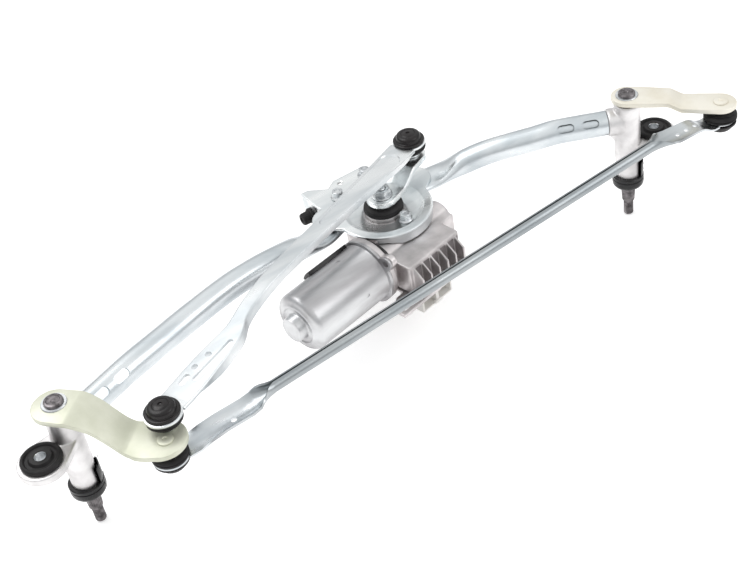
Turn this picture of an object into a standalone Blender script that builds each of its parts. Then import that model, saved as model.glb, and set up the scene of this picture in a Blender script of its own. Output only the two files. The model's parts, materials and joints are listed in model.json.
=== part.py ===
"""Windscreen wiper linkage with its motor: two pivot shafts on a tube frame,
a crank, a drive rod, a coupling rod and two levers. Metres, +Z up."""
import bpy
import bmesh
import numpy as np
from math import pi, sin, cos, sqrt, atan2, radians
from mathutils import Matrix, Vector

# Layout in plan
SHAFT_SPACING = 0.500
LEVER_RADIUS = 0.072
LEVER_ANGLE = radians(-48.0)
DRIVE_RADIUS = 0.0695
DRIVE_ANGLE = radians(-37.3)
CRANK_RADIUS = 0.0465
HUB_X = 0.054
HUB_Y = 0.066
MOTOR_TURN = radians(12.0)

# Fits and clearances
GAP = 0.0003
BALL_GAP = 0.0003

# Share of the drawn facets that each turned shape keeps
FACETS = 0.42

# Pivot shafts
SHAFT_R = 0.006
SHAFT_TOP = 0.120
HEAD_R = 0.00675
HEAD_H = 0.003
CONE_LOW_Z = 0.0150
CONE_TOP_Z = 0.0265
CONE_LOW_R = 0.0050
THREAD_R = 0.0040
THREAD_PITCH = 0.00125
BUSH_WALL = 0.0019
BUSH_LEN = 0.014
HOUSING_R = 0.0100
HOUSING_LOW_Z = 0.0375
HOUSING_TOP_Z = 0.1105
CLIP_Z = 0.0334
SOCKET_Z = 0.0940

# Levers
ARM_T = 0.004
ARM_TOP = SHAFT_TOP - HEAD_H
LEFT_DROP = 0.027
RIGHT_DROP = 0.005
LEFT_ARM_W = 0.0165
ARM_RIM = 0.0013
RIVET_R = 0.0040
RIGHT_ARM_W = 0.0125

# Ball joints
BALL_R = 0.0062
STUD_FLANGE_R = 0.0075
STUD_FLANGE_T = 0.0020
STUD_NECK_R = 0.0038
STUD_REACH = 0.0112
CUP_FLANGE_R = 0.0125
CUP_BODY_R = 0.0087
EYE_R = 0.0137
EYE_T = 0.0022
BOOT_R = 0.0130

# Rods
DRIVE_RISE = 0.0080
ROLL_W = 0.0220
ROLL_T = 0.0016
RISE_LEFT = 0.0010
TUBE_LIFT = 0.0046
RISE_RIGHT = 0.0060

# Crank
CRANK_T = 0.005
CRANK_HUB_TOP = 0.0880
CRANK_PIN_TOP = 0.0965
CRANK_HUB_R = 0.0125
CRANK_PIN_R = 0.0120
OUT_SHAFT_R = 0.0050
BOSS_TOP = 0.0750
BOSS_R = 0.0150
SEAL_R = 0.0160

# Frame
TUBE_R = 0.0100
TUBE_WALL = 0.0015
SPIGOT_LEN = 0.046
SOCKET_REACH = 0.0170
PLATE_TOP = 0.0760
PLATE_T = 0.0025
DISH_R = 0.0390
DISH_STEP_R = 0.0318
DISH_DEPTH = 0.0032
SCREW_HEAD_R = 0.0060
SCREW_POCKET = 0.0003
ROUTE_LEFT = ((-0.1001, 0.0501, 0.0905), (-0.0480, 0.0620, 0.0840), (-0.0050, 0.0775, 0.0686))
ROUTE_RIGHT = ((0.1879, 0.0338, 0.0915), (0.1490, 0.0580, 0.0835), (0.1145, 0.0785, 0.0686))
LEFT_END_X = 0.0155
LEFT_END_Y = 0.0850
RIGHT_END_X = 0.0940
RIGHT_END_Y = 0.0820
ARM_TIP_R = 0.0145
FLAT_HALF_H = 0.0048
FLAT_HALF_W = 0.0138
STAKE_DEPTH = 0.0009

# Motor
WORM_OFFSET = 0.0250
AXIS_Z = 0.0560
CAN_R = 0.0240
CAN_WALL = 0.0014
CAN_REAR = -0.1310
CAN_FRONT = -0.0480
GEAR_TOP = 0.0700
GEAR_LOW = 0.0400
DRUM_R = 0.0325
WALL = 0.0028
WHEEL_R = 0.0195
WORM_R = WORM_OFFSET - WHEEL_R - GAP

LEFT = Vector((-SHAFT_SPACING / 2, 0.0, 0.0))
RIGHT = Vector((SHAFT_SPACING / 2, 0.0, 0.0))
HUB = Vector((HUB_X, HUB_Y, 0.0))
LINK_OFF = Vector((LEVER_RADIUS * cos(LEVER_ANGLE), LEVER_RADIUS * sin(LEVER_ANGLE), 0.0))
LINK_LEFT = LEFT + LINK_OFF
LINK_RIGHT = RIGHT + LINK_OFF
DRIVE_LEFT = LEFT + Vector((DRIVE_RADIUS * cos(DRIVE_ANGLE), DRIVE_RADIUS * sin(DRIVE_ANGLE), 0.0))
ROD_DIR = (HUB - DRIVE_LEFT).normalized()
ROD_ANGLE = atan2(ROD_DIR.y, ROD_DIR.x)
PIN = HUB + ROD_DIR * CRANK_RADIUS
ROD_LEN = (PIN - DRIVE_LEFT).length
LEFT_FLAT = ARM_TOP - LEFT_DROP
RIGHT_FLAT = ARM_TOP - RIGHT_DROP
DRIVE_BALL_Z = LEFT_FLAT + GAP + STUD_REACH
PIN_BALL_Z = CRANK_PIN_TOP + GAP + STUD_REACH
LINK_BALL_LEFT = LEFT_FLAT - ARM_T - GAP - STUD_REACH
LINK_BALL_RIGHT = RIGHT_FLAT - ARM_T - GAP - STUD_REACH

ZINC = ("zinc plated steel", "C9D0D6", 1.0, 0.32)
YELLOW = ("yellow passivated steel", "D9D2A8", 1.0, 0.38)
CREAM = ("pale passivated steel", "E2DCC2", 1.0, 0.38)
CAST = ("die-cast aluminium", "C4C3BF", 1.0, 0.45)
DARK_STEEL = ("phosphated steel", "4A4A4C", 1.0, 0.42)
STEEL = ("bright steel", "B9BCC0", 1.0, 0.28)
CAN_STEEL = ("galvanised motor steel", "BFC2C4", 1.0, 0.26)
BLACK = ("black moulded nylon", "17181A", 0.0, 0.35)
RUBBER = ("black rubber", "1B1B1C", 0.0, 0.75)
BRONZE = ("sintered bronze", "A37A45", 1.0, 0.45)
FERRITE = ("ferrite magnet", "3A3B3D", 0.0, 0.60)
COPPER = ("copper", "B8703F", 1.0, 0.35)
LAMINATION = ("laminated core steel", "77797B", 1.0, 0.50)
WHITE = ("natural acetal", "E6E2D6", 0.0, 0.45)


def clear_scene():
    for ob in list(bpy.data.objects):
        bpy.data.objects.remove(ob, do_unlink=True)


def linear(value):
    c = value / 255.0
    return c / 12.92 if c <= 0.04045 else ((c + 0.055) / 1.055) ** 2.4


def material(spec, owner):
    name, code, metallic, rough = spec
    mat = bpy.data.materials.new(owner + " " + name)
    mat.use_nodes = True
    shader = mat.node_tree.nodes["Principled BSDF"]
    rgb = [linear(int(code[i:i + 2], 16)) for i in (0, 2, 4)]
    shader.inputs["Base Color"].default_value = (*rgb, 1.0)
    shader.inputs["Metallic"].default_value = metallic
    shader.inputs["Roughness"].default_value = rough
    return mat


def to_object(bm, name):
    bmesh.ops.recalc_face_normals(bm, faces=bm.faces[:])
    mesh = bpy.data.meshes.new(name)
    bm.to_mesh(mesh)
    bm.free()
    ob = bpy.data.objects.new(name, mesh)
    bpy.context.scene.collection.objects.link(ob)
    return ob


def move(ob, matrix):
    ob.data.transform(matrix)
    return ob


def shift(ob, x=0.0, y=0.0, z=0.0):
    return move(ob, Matrix.Translation((x, y, z)))


def turned(profile, seg=40, name="turned", flutes=None):
    """A closed outline of (radius, z) points turned about Z."""
    seg = max(10, 2 * int(seg * FACETS / 2))
    bm = bmesh.new()
    rings = []
    for radius, z in profile:
        if radius < 1e-6:
            rings.append([bm.verts.new((0.0, 0.0, z))])
            continue
        ring = []
        for k in range(seg):
            r = radius
            if flutes and flutes[0] <= z <= flutes[1] and k % 2:
                r = radius - flutes[2]
            a = 2 * pi * (k + 0.5) / seg
            ring.append(bm.verts.new((r * cos(a), r * sin(a), z)))
        rings.append(ring)
    count = len(rings)
    for i in range(count):
        a, b = rings[i], rings[(i + 1) % count]
        if len(a) == 1 and len(b) == 1:
            continue
        for k in range(seg):
            n = (k + 1) % seg
            if len(a) == 1:
                bm.faces.new((a[0], b[k], b[n]))
            elif len(b) == 1:
                bm.faces.new((a[k], a[n], b[0]))
            else:
                bm.faces.new((a[k], a[n], b[n], b[k]))
    return to_object(bm, name)


def prism(outline, z0, z1, name="prism", bevel=0.0):
    """A flat outline drawn up from z0 to z1, with its rims broken by bevel."""
    bm = bmesh.new()
    low = [bm.verts.new((x, y, z0)) for x, y in outline]
    face = bm.faces.new(low)
    out = bmesh.ops.extrude_face_region(bm, geom=[face])
    top = [v for v in out["geom"] if isinstance(v, bmesh.types.BMVert)]
    bmesh.ops.translate(bm, vec=(0.0, 0.0, z1 - z0), verts=top)
    if bevel > 0.0:
        rims = [e for e in bm.edges if abs(e.verts[0].co.z - e.verts[1].co.z) < 1e-7]
        bmesh.ops.bevel(bm, geom=rims, offset=bevel, segments=1, affect="EDGES", profile=0.5)
    return to_object(bm, name)


def box(x0, x1, y0, y1, z0, z1, name="box", bevel=0.0):
    bm = bmesh.new()
    bmesh.ops.create_cube(bm, size=1.0)
    for v in bm.verts:
        v.co.x = x0 if v.co.x < 0 else x1
        v.co.y = y0 if v.co.y < 0 else y1
        v.co.z = z0 if v.co.z < 0 else z1
    if bevel > 0.0:
        bmesh.ops.bevel(bm, geom=bm.edges[:], offset=bevel, segments=1, affect="EDGES", profile=0.5)
    return to_object(bm, name)


def disc(radius, z0, z1, x=0.0, y=0.0, seg=32, edge=0.0, name="disc"):
    if edge > 0.0:
        profile = [(0.0, z0), (radius - edge, z0), (radius, z0 + edge),
                   (radius, z1 - edge), (radius - edge, z1), (0.0, z1)]
    else:
        profile = [(0.0, z0), (radius, z0), (radius, z1), (0.0, z1)]
    return shift(turned(profile, seg, name), x, y)


def combine(target, tool, kind):
    """One exact boolean; the tool is used up."""
    tool.hide_render = True
    tool.display_type = "WIRE"
    mod = target.modifiers.new("cut", "BOOLEAN")
    mod.operation = kind
    mod.solver = "EXACT"
    mod.object = tool
    bpy.context.view_layer.update()
    graph = bpy.context.evaluated_depsgraph_get()
    done = bpy.data.meshes.new_from_object(target.evaluated_get(graph))
    target.modifiers.clear()
    old = target.data
    target.data = done
    bpy.data.meshes.remove(old)
    bpy.data.objects.remove(tool, do_unlink=True)
    return target


def cut(target, *tools):
    for tool in tools:
        combine(target, tool, "DIFFERENCE")
    return target


def join(target, *tools):
    for tool in tools:
        combine(target, tool, "UNION")
    return target


def clean(ob):
    """Welds doubled points and drops slivers left by the cuts."""
    bm = bmesh.new()
    bm.from_mesh(ob.data)
    bmesh.ops.remove_doubles(bm, verts=bm.verts[:], dist=2e-6)
    bmesh.ops.dissolve_degenerate(bm, edges=bm.edges[:], dist=1e-6)
    bmesh.ops.dissolve_limit(bm, angle_limit=0.0008, verts=bm.verts[:], edges=bm.edges[:])
    bmesh.ops.triangulate(bm, faces=[f for f in bm.faces if len(f.verts) > 4])
    bmesh.ops.recalc_face_normals(bm, faces=bm.faces[:])
    bm.to_mesh(ob.data)
    bm.free()
    return ob


def finish(ob, name, spec, origin=None):
    """Names a piece, gives it its finish and sets its origin."""
    clean(ob)
    ob.name = name
    ob.data.name = name
    ob.data.materials.clear()
    ob.data.materials.append(material(spec, name))
    if origin is not None:
        at = Vector(origin)
        ob.data.transform(Matrix.Translation(-at))
        ob.location = at
    return ob


def capsule(x0, x1, r0, r1, seg=14):
    """Outline of two circles on X and the tangents between them."""
    seg = max(5, int(seg * 0.6))
    span = x1 - x0
    lean = (r0 - r1) / span
    a = pi / 2 - np.arcsin(lean)
    pts = []
    for k in range(seg + 1):
        t = a + (2 * pi - 2 * a) * k / seg
        pts.append((x0 + r0 * cos(t), r0 * sin(t)))
    for k in range(seg + 1):
        t = -a + 2 * a * k / seg
        pts.append((x1 + r1 * cos(t), r1 * sin(t)))
    return pts


def ribbon(stations, cap=8):
    """Outline from (x, centre y, half width) stations with round ends."""
    up = [(x, c + w) for x, c, w in stations]
    low = [(x, c - w) for x, c, w in stations]
    x0, c0, w0 = stations[0]
    x1, c1, w1 = stations[-1]
    head = [(x1 + w1 * sin(pi * k / cap), c1 + w1 * cos(pi * k / cap)) for k in range(1, cap)]
    tail = [(x0 - w0 * sin(pi * k / cap), c0 - w0 * cos(pi * k / cap)) for k in range(1, cap)]
    return up + head + low[::-1] + tail


def fold(ob, marks):
    """Bends a plate in Z: marks are (x, lift) pairs, straight between them."""
    bm = bmesh.new()
    bm.from_mesh(ob.data)
    for x, lift in marks:
        geom = bm.verts[:] + bm.edges[:] + bm.faces[:]
        bmesh.ops.bisect_plane(bm, geom=geom, dist=1e-6, plane_co=(x, 0, 0), plane_no=(1, 0, 0))
    xs = [m[0] for m in marks]
    zs = [m[1] for m in marks]
    for v in bm.verts:
        v.co.z += float(np.interp(v.co.x, xs, zs))
    bm.to_mesh(ob.data)
    bm.free()
    return ob


def smooth_marks(x0, x1, drop, steps=6):
    """Marks of an S-shaped joggle that falls by drop from x0 to x1."""
    marks = []
    for k in range(steps + 1):
        t = k / steps
        ease = t * t * (3 - 2 * t)
        marks.append((x0 + (x1 - x0) * (0.5 * t + 0.5 * ease), -drop * ease))
    return marks


def loft(sections, closed_ends=True, name="loft"):
    """Skin over rings with the same number of points."""
    bm = bmesh.new()
    rings = [[bm.verts.new(p) for p in ring] for ring in sections]
    n = len(rings[0])
    for a, b in zip(rings[:-1], rings[1:]):
        for k in range(n):
            m = (k + 1) % n
            bm.faces.new((a[k], a[m], b[m], b[k]))
    if closed_ends:
        bm.faces.new(rings[0][::-1])
        bm.faces.new(rings[-1])
    return to_object(bm, name)


def pipe(path, outer, inner, seg=28, name="pipe"):
    """A hollow tube along path; outer and inner are (half width, half height)."""
    seg = max(16, 2 * int(seg * FACETS / 2))
    bm = bmesh.new()
    pts = [Vector(p) for p in path]
    loops_out = []
    loops_in = []
    for i, p in enumerate(pts):
        ahead = pts[min(i + 1, len(pts) - 1)]
        back = pts[max(i - 1, 0)]
        tangent = (ahead - back).normalized()
        side = Vector((0, 0, 1)).cross(tangent).normalized()
        up = tangent.cross(side)
        for size, store in ((outer[i], loops_out), (inner[i], loops_in)):
            ring = []
            for k in range(seg):
                a = 2 * pi * (k + 0.5) / seg
                ring.append(bm.verts.new(p + side * size[0] * cos(a) + up * size[1] * sin(a)))
            store.append(ring)
    for loops in (loops_out, loops_in):
        for a, b in zip(loops[:-1], loops[1:]):
            for k in range(seg):
                m = (k + 1) % seg
                bm.faces.new((a[k], a[m], b[m], b[k]))
    for o, i in ((loops_out[0], loops_in[0]), (loops_out[-1], loops_in[-1])):
        for k in range(seg):
            m = (k + 1) % seg
            bm.faces.new((o[k], o[m], i[m], i[k]))
    return to_object(bm, name)


def aim(direction, at):
    """Matrix that lays local +Z along direction, starting at a point."""
    z = Vector(direction).normalized()
    x = Vector((0, 0, 1)).cross(z)
    if x.length < 1e-6:
        x = Vector((1, 0, 0))
    x.normalize()
    y = z.cross(x)
    turn = Matrix((x, y, z)).transposed().to_4x4()
    return Matrix.Translation(at) @ turn


def slot(length, radius, z0, z1, seg=8):
    """An oblong cutter along X, centred on the origin."""
    half = length / 2 - radius
    return prism(capsule(-half, half, radius, radius, seg), z0, z1, "slot")


MOTOR = Matrix.Translation(HUB) @ Matrix.Rotation(MOTOR_TURN, 4, "Z")
ALONG = MOTOR @ Matrix.Translation((0.0, -WORM_OFFSET, AXIS_Z)) @ Matrix.Rotation(pi / 2, 4, "Y")


def on_motor(ob):
    """From the motor's own axes (s along the armature, t across) to the world."""
    return move(ob, MOTOR)


def on_axis(ob):
    """From a shape turned about Z to the armature axis, z becoming s."""
    return move(ob, ALONG)


# Pivot shafts, bushes, housings

def make_shaft(name, at):
    profile = [(0.0, 0.0), (THREAD_R - 0.0008, 0.0), (THREAD_R - 0.0001, 0.0008)]
    z = 0.0013
    while z < CONE_LOW_Z - 0.0025:
        profile += [(THREAD_R, z), (THREAD_R - 0.0006, z + THREAD_PITCH / 2)]
        z += 2 * THREAD_PITCH
    profile += [(THREAD_R - 0.0006, CONE_LOW_Z - 0.0008), (CONE_LOW_R, CONE_LOW_Z - 0.0002)]
    profile += [(CONE_LOW_R + 0.0001, CONE_LOW_Z), (SHAFT_R - 0.0002, CONE_TOP_Z)]
    profile += [(SHAFT_R, CONE_TOP_Z + 0.0006)]
    profile += [(SHAFT_R, CLIP_Z - 0.0007), (SHAFT_R - 0.0007, CLIP_Z - 0.0007)]
    profile += [(SHAFT_R - 0.0007, CLIP_Z + 0.0007), (SHAFT_R, CLIP_Z + 0.0007)]
    neck = ARM_TOP + GAP
    profile += [(SHAFT_R, neck), (HEAD_R, neck), (HEAD_R, SHAFT_TOP - 0.0006)]
    profile += [(HEAD_R - 0.0007, SHAFT_TOP), (HEAD_R - 0.0022, SHAFT_TOP)]
    profile += [(HEAD_R - 0.0028, SHAFT_TOP - 0.0004), (0.0, SHAFT_TOP - 0.0004)]
    flutes = (CONE_LOW_Z - 0.00005, CONE_TOP_Z + 0.00005, 0.00035)
    ob = turned(profile, 48, name, flutes)
    return finish(shift(ob, at.x, at.y), name, DARK_STEEL, at)


def make_washer(name, at, top, thick, outer, spec):
    profile = [(SHAFT_R + GAP, top - thick), (outer, top - thick), (outer, top), (SHAFT_R + GAP, top)]
    return finish(shift(turned(profile, 36), at.x, at.y), name, spec, at)


def make_clip(name, at):
    """A retaining clip in the shaft's groove, open at one side."""
    inner = SHAFT_R - 0.0007 + GAP
    outer = SHAFT_R + 0.0022
    half = 0.0007 - 0.0002
    ob = turned([(inner, CLIP_Z - half), (outer, CLIP_Z - half), (outer, CLIP_Z + half),
                 (inner, CLIP_Z + half)], 36)
    cut(ob, box(0.0, 0.02, -0.0035, 0.0035, 0.0, 0.1))
    return finish(shift(ob, at.x, at.y), name, STEEL, at)


def make_bush(name, at, low):
    outer = SHAFT_R + GAP + BUSH_WALL
    c = 0.0004
    profile = [(SHAFT_R + GAP, low), (outer - c, low), (outer, low + c),
               (outer, low + BUSH_LEN), (SHAFT_R + GAP, low + BUSH_LEN)]
    return finish(shift(turned(profile, 36), at.x, at.y), name, BRONZE)


EAR_T = 0.0060
EAR_R = 0.0175
GROMMET_R = 0.0145
GROMMET_H = 0.0140
GROMMET_NECK = 0.0108
SLEEVE_R = 0.0055
SLEEVE_BORE = 0.0042


def make_housing(name, at, tube_dir, ear_at, ear_z, top_lift):
    """Die-cast pivot housing: barrel, tube spigot, mounting ear and webs."""
    seat = SHAFT_R + GAP + BUSH_WALL + GAP
    low, top = HOUSING_LOW_Z, HOUSING_TOP_Z + top_lift
    body = turned([(0.0, low), (HOUSING_R - 0.0010, low), (HOUSING_R - 0.0002, low + 0.0012),
                   (HOUSING_R - 0.0002, low + 0.018), (HOUSING_R + 0.0004, low + 0.022),
                   (HOUSING_R + 0.0006, top - 0.012), (HOUSING_R + 0.0006, top - 0.001),
                   (HOUSING_R - 0.0004, top), (0.0, top)], 40)
    direction = Vector(tube_dir).normalized()
    turn = Matrix.Rotation(atan2(direction.y, direction.x), 4, "Z")
    collar = move(turned([(0.0, 0.004), (TUBE_R + 0.0012, 0.004), (TUBE_R + 0.0012, SOCKET_REACH - 0.0015),
                          (TUBE_R + 0.0004, SOCKET_REACH - GAP), (0.0, SOCKET_REACH - GAP)], 32),
                  aim(direction, (0, 0, SOCKET_Z)))
    core_r = TUBE_R - TUBE_WALL - GAP
    core = move(turned([(0.0, 0.006), (core_r, 0.006), (core_r, SOCKET_REACH + SPIGOT_LEN - 0.002),
                        (core_r - 0.0015, SOCKET_REACH + SPIGOT_LEN), (0.0, SOCKET_REACH + SPIGOT_LEN)], 28),
                aim(direction, (0, 0, SOCKET_Z)))
    bore = move(turned([(0.0, SOCKET_REACH + 0.006), (core_r - 0.0028, SOCKET_REACH + 0.006),
                        (core_r - 0.0028, SOCKET_REACH + SPIGOT_LEN + 0.01),
                        (0.0, SOCKET_REACH + SPIGOT_LEN + 0.01)], 20),
                aim(direction, (0, 0, SOCKET_Z)))
    web = move(prism([(0.003, SOCKET_Z - 0.028), (SOCKET_REACH - 0.001, SOCKET_Z - 0.010),
                      (SOCKET_REACH - 0.001, SOCKET_Z), (0.003, SOCKET_Z)], -0.002, 0.002),
               turn @ Matrix.Rotation(pi / 2, 4, "X"))
    join(body, collar, core, web)
    cut(body, bore)
    roll = radians(38) if direction.x > 0 else radians(-38)
    for where in (0.014, 0.034):
        notch = box(SOCKET_REACH + where - 0.0045, SOCKET_REACH + where + 0.0045, -0.0028, 0.0028,
                    core_r - 0.0016, core_r + 0.004)
        move(notch, Matrix.Translation((0, 0, SOCKET_Z)) @ turn @ Matrix.Rotation(roll, 4, "X"))
        cut(body, notch)
    ex, ey = ear_at
    reach = sqrt(ex * ex + ey * ey)
    ear_turn = Matrix.Rotation(atan2(ey, ex), 4, "Z")
    ear = prism(capsule(0.0, reach, 0.0095, EAR_R, 18), ear_z - EAR_T / 2, ear_z + EAR_T / 2, "ear", 0.0006)
    join(body, move(ear, ear_turn))
    rib = move(prism([(0.004, ear_z - 0.019), (reach - GROMMET_R - 0.0015, ear_z - EAR_T / 2 + 0.0005),
                      (0.004, ear_z - EAR_T / 2 + 0.0005)], -0.0018, 0.0018),
               ear_turn @ Matrix.Rotation(pi / 2, 4, "X"))
    join(body, rib)
    cut(body, disc(GROMMET_NECK + GAP, ear_z - 0.02, ear_z + 0.02, ex, ey, 48))
    cut(body, disc(SHAFT_R + 0.0012, low - 0.01, top + 0.01, 0, 0, 32))
    cut(body, disc(seat, low - 0.01, low + BUSH_LEN + 0.0015, 0, 0, 36))
    cut(body, disc(seat, top - BUSH_LEN - 0.0015, top + 0.01, 0, 0, 36))
    return finish(shift(body, at.x, at.y), name, CAST)


def make_grommet(name, at, ear_at, ear_z):
    half = GROMMET_H / 2
    slit = EAR_T / 2 + GAP
    bore = SLEEVE_R + GAP
    profile = [(bore, -half), (GROMMET_R - 0.003, -half), (GROMMET_R - 0.0008, -half + 0.0012),
               (GROMMET_R, -half + 0.0028), (GROMMET_R - 0.0006, -slit), (GROMMET_NECK, -slit),
               (GROMMET_NECK, slit), (GROMMET_R - 0.0006, slit), (GROMMET_R, half - 0.0028),
               (GROMMET_R - 0.0008, half - 0.0012), (GROMMET_R - 0.003, half),
               (bore + 0.0032, half), (bore + 0.0026, half - 0.0012), (bore, half - 0.0012)]
    ob = turned(profile, 36)
    return finish(shift(ob, at.x + ear_at[0], at.y + ear_at[1], ear_z), name, RUBBER)


def make_sleeve(name, at, ear_at, ear_z):
    half = GROMMET_H / 2 + 0.0006
    ob = turned([(SLEEVE_BORE, -half), (SLEEVE_R, -half), (SLEEVE_R, half), (SLEEVE_BORE, half)], 32)
    return finish(shift(ob, at.x + ear_at[0], at.y + ear_at[1], ear_z), name, STEEL)


def make_collar(name, at, horn_angle):
    """Moulded end collar round the foot of a housing, with a locking horn."""
    inner = HOUSING_R - 0.0002 + GAP
    outer = 0.0128
    low = HOUSING_LOW_Z - 0.0070
    top = HOUSING_LOW_Z + 0.0040
    floor = HOUSING_LOW_Z - GAP
    ob = turned([(SHAFT_R + 0.0030, low), (outer - 0.0022, low), (outer, low + 0.0035),
                 (outer, top), (inner, top), (inner, floor), (SHAFT_R + 0.0030, floor)], 40)
    horn = turned([(inner, top - 0.002), (outer, top - 0.002), (outer, top + 0.0120),
                   (outer - 0.0008, top + 0.0130), (inner, top + 0.0130)], 40)
    keep = prism([(0.0, 0.0), (0.03 * cos(-0.6), 0.03 * sin(-0.6)), (0.04, 0.0),
                  (0.03 * cos(0.6), 0.03 * sin(0.6))], 0.0, 0.2)
    combine(horn, keep, "INTERSECT")
    join(ob, move(horn, Matrix.Rotation(horn_angle, 4, "Z")))
    return finish(shift(ob, at.x, at.y), name, BLACK)


# Levers and ball joints

def make_left_arm():
    w = LEFT_ARM_W
    off = Matrix.Rotation(-LEVER_ANGLE, 4, "Z") @ (DRIVE_LEFT - LEFT)
    far = max(LEVER_RADIUS, off.x + 0.0037) - 0.0030
    lift = 0.0012
    pad = off.y + RIVET_R + GAP + ARM_RIM - lift
    stations = [(0.0, -0.0020, w - 0.0013), (0.012, -0.0022, w - 0.0011), (0.019, -0.0010, w - 0.0014),
                (0.026, 0.0006, w - 0.0022), (0.034, 0.0006, w - 0.0024), (0.042, 0.0002, w - 0.0030),
                (0.050, 0.0000, w - 0.0016), (far - 0.013, 0.0000, w + 0.0004),
                (far - 0.005, lift / 2, (w + 0.0014 + pad) / 2), (far, lift, pad)]
    ob = prism(ribbon(stations), -ARM_T, 0.0, "left_arm", 0.0004)
    cut(ob, disc(SHAFT_R + GAP, -0.01, 0.01, 0, 0, 32))
    cut(ob, disc(RIVET_R + GAP, -0.01, 0.01, LEVER_RADIUS, 0, 28))
    cut(ob, disc(RIVET_R + GAP, -0.01, 0.01, off.x, off.y, 28))
    fold(ob, smooth_marks(0.015, 0.047, LEFT_DROP, 9))
    move(ob, Matrix.Translation((LEFT.x, LEFT.y, ARM_TOP)) @ Matrix.Rotation(LEVER_ANGLE, 4, "Z"))
    return finish(ob, "left_lever_arm", YELLOW, LEFT)


def make_right_arm():
    w = RIGHT_ARM_W
    stations = [(0.0, 0.0, w), (0.014, 0.0, w - 0.0003), (0.030, 0.0, w - 0.0012),
                (0.045, 0.0, w - 0.0014), (LEVER_RADIUS - 0.014, 0.0, w - 0.0008),
                (LEVER_RADIUS, 0.0, w - 0.0003)]
    ob = prism(ribbon(stations), -ARM_T, 0.0, "right_arm", 0.0004)
    cut(ob, disc(SHAFT_R + GAP, -0.01, 0.01, 0, 0, 32))
    cut(ob, disc(RIVET_R + GAP, -0.01, 0.01, LEVER_RADIUS, 0, 28))
    fold(ob, smooth_marks(0.032, 0.044, RIGHT_DROP, 5))
    move(ob, Matrix.Translation((RIGHT.x, RIGHT.y, ARM_TOP)) @ Matrix.Rotation(LEVER_ANGLE, 4, "Z"))
    return finish(ob, "right_lever_arm", CREAM, RIGHT)


def stud_profile(shank):
    """Ball stud standing on z=0: rivet head below, flange and ball above."""
    reach = STUD_REACH
    pts = [(0.0, -shank - 0.0013), (0.0046, -shank - 0.0013), (0.0056, -shank - 0.0007),
           (0.0056, -shank), (RIVET_R, -shank), (RIVET_R, 0.0), (STUD_FLANGE_R, 0.0),
           (STUD_FLANGE_R, STUD_FLANGE_T - 0.0004), (STUD_FLANGE_R - 0.0004, STUD_FLANGE_T)]
    if shank < 1e-6:
        pts = [(0.0, 0.0), (STUD_FLANGE_R, 0.0), (STUD_FLANGE_R, STUD_FLANGE_T - 0.0004),
               (STUD_FLANGE_R - 0.0004, STUD_FLANGE_T)]
    low = -np.arccos(STUD_NECK_R / BALL_R)
    pts.append((STUD_NECK_R, STUD_FLANGE_T))
    for k in range(0, 7):
        a = low + (pi / 2 - low) * k / 6
        r = BALL_R * cos(a)
        pts.append((r if k < 6 else 0.0, reach + BALL_R * sin(a)))
    return pts


def make_stud(name, at, z, down, origin, shank):
    ob = turned(stud_profile(shank), 32)
    if down:
        move(ob, Matrix.Rotation(pi, 4, "X"))
    return finish(shift(ob, at.x, at.y, z), name, STEEL, origin)


def cup_profile():
    """Moulded ball cup centred on the ball at z=0, open below."""
    cav = BALL_R + BALL_GAP
    eye = EYE_T / 2 + GAP
    lip = -0.0040
    pts = [(sqrt(cav * cav - lip * lip), lip), (CUP_BODY_R - 0.0005, lip), (CUP_BODY_R, lip + 0.0006),
           (CUP_BODY_R, eye), (CUP_FLANGE_R, eye), (CUP_FLANGE_R, eye + 0.0014),
           (CUP_FLANGE_R - 0.0008, eye + 0.0020), (0.0100, eye + 0.0024), (0.0094, eye + 0.0050),
           (0.0070, eye + 0.0070), (0.0024, eye + 0.0077), (0.0012, eye + 0.0069), (0.0, eye + 0.0069)]
    low = np.arcsin(lip / cav)
    for k in range(6, 0, -1):
        a = low + (pi / 2 - low) * k / 6
        pts.append((cav * cos(a) if k < 6 else 0.0, cav * sin(a)))
    return pts


def make_cup(name, at, z, down, origin):
    ob = turned(cup_profile(), 36)
    if down:
        move(ob, Matrix.Rotation(pi, 4, "X"))
    return finish(shift(ob, at.x, at.y, z), name, BLACK, origin)


def boot_profile():
    """Rubber dust boot hanging from the rod's eye, ball centre at z=0."""
    eye = -EYE_T / 2 - GAP
    return [(BOOT_R - 0.0030, eye), (BOOT_R, eye), (BOOT_R, eye - 0.0024),
            (BOOT_R - 0.0020, eye - 0.0050), (0.0092, eye - 0.0066), (0.0052, eye - 0.0072),
            (0.0052, eye - 0.0058), (0.0090, eye - 0.0048), (0.0101, eye - 0.0020)]


def make_boot(name, at, z, down, origin):
    ob = turned(boot_profile(), 36)
    if down:
        move(ob, Matrix.Rotation(pi, 4, "X"))
    return finish(shift(ob, at.x, at.y, z), name, RUBBER, origin)


# Rods

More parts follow.
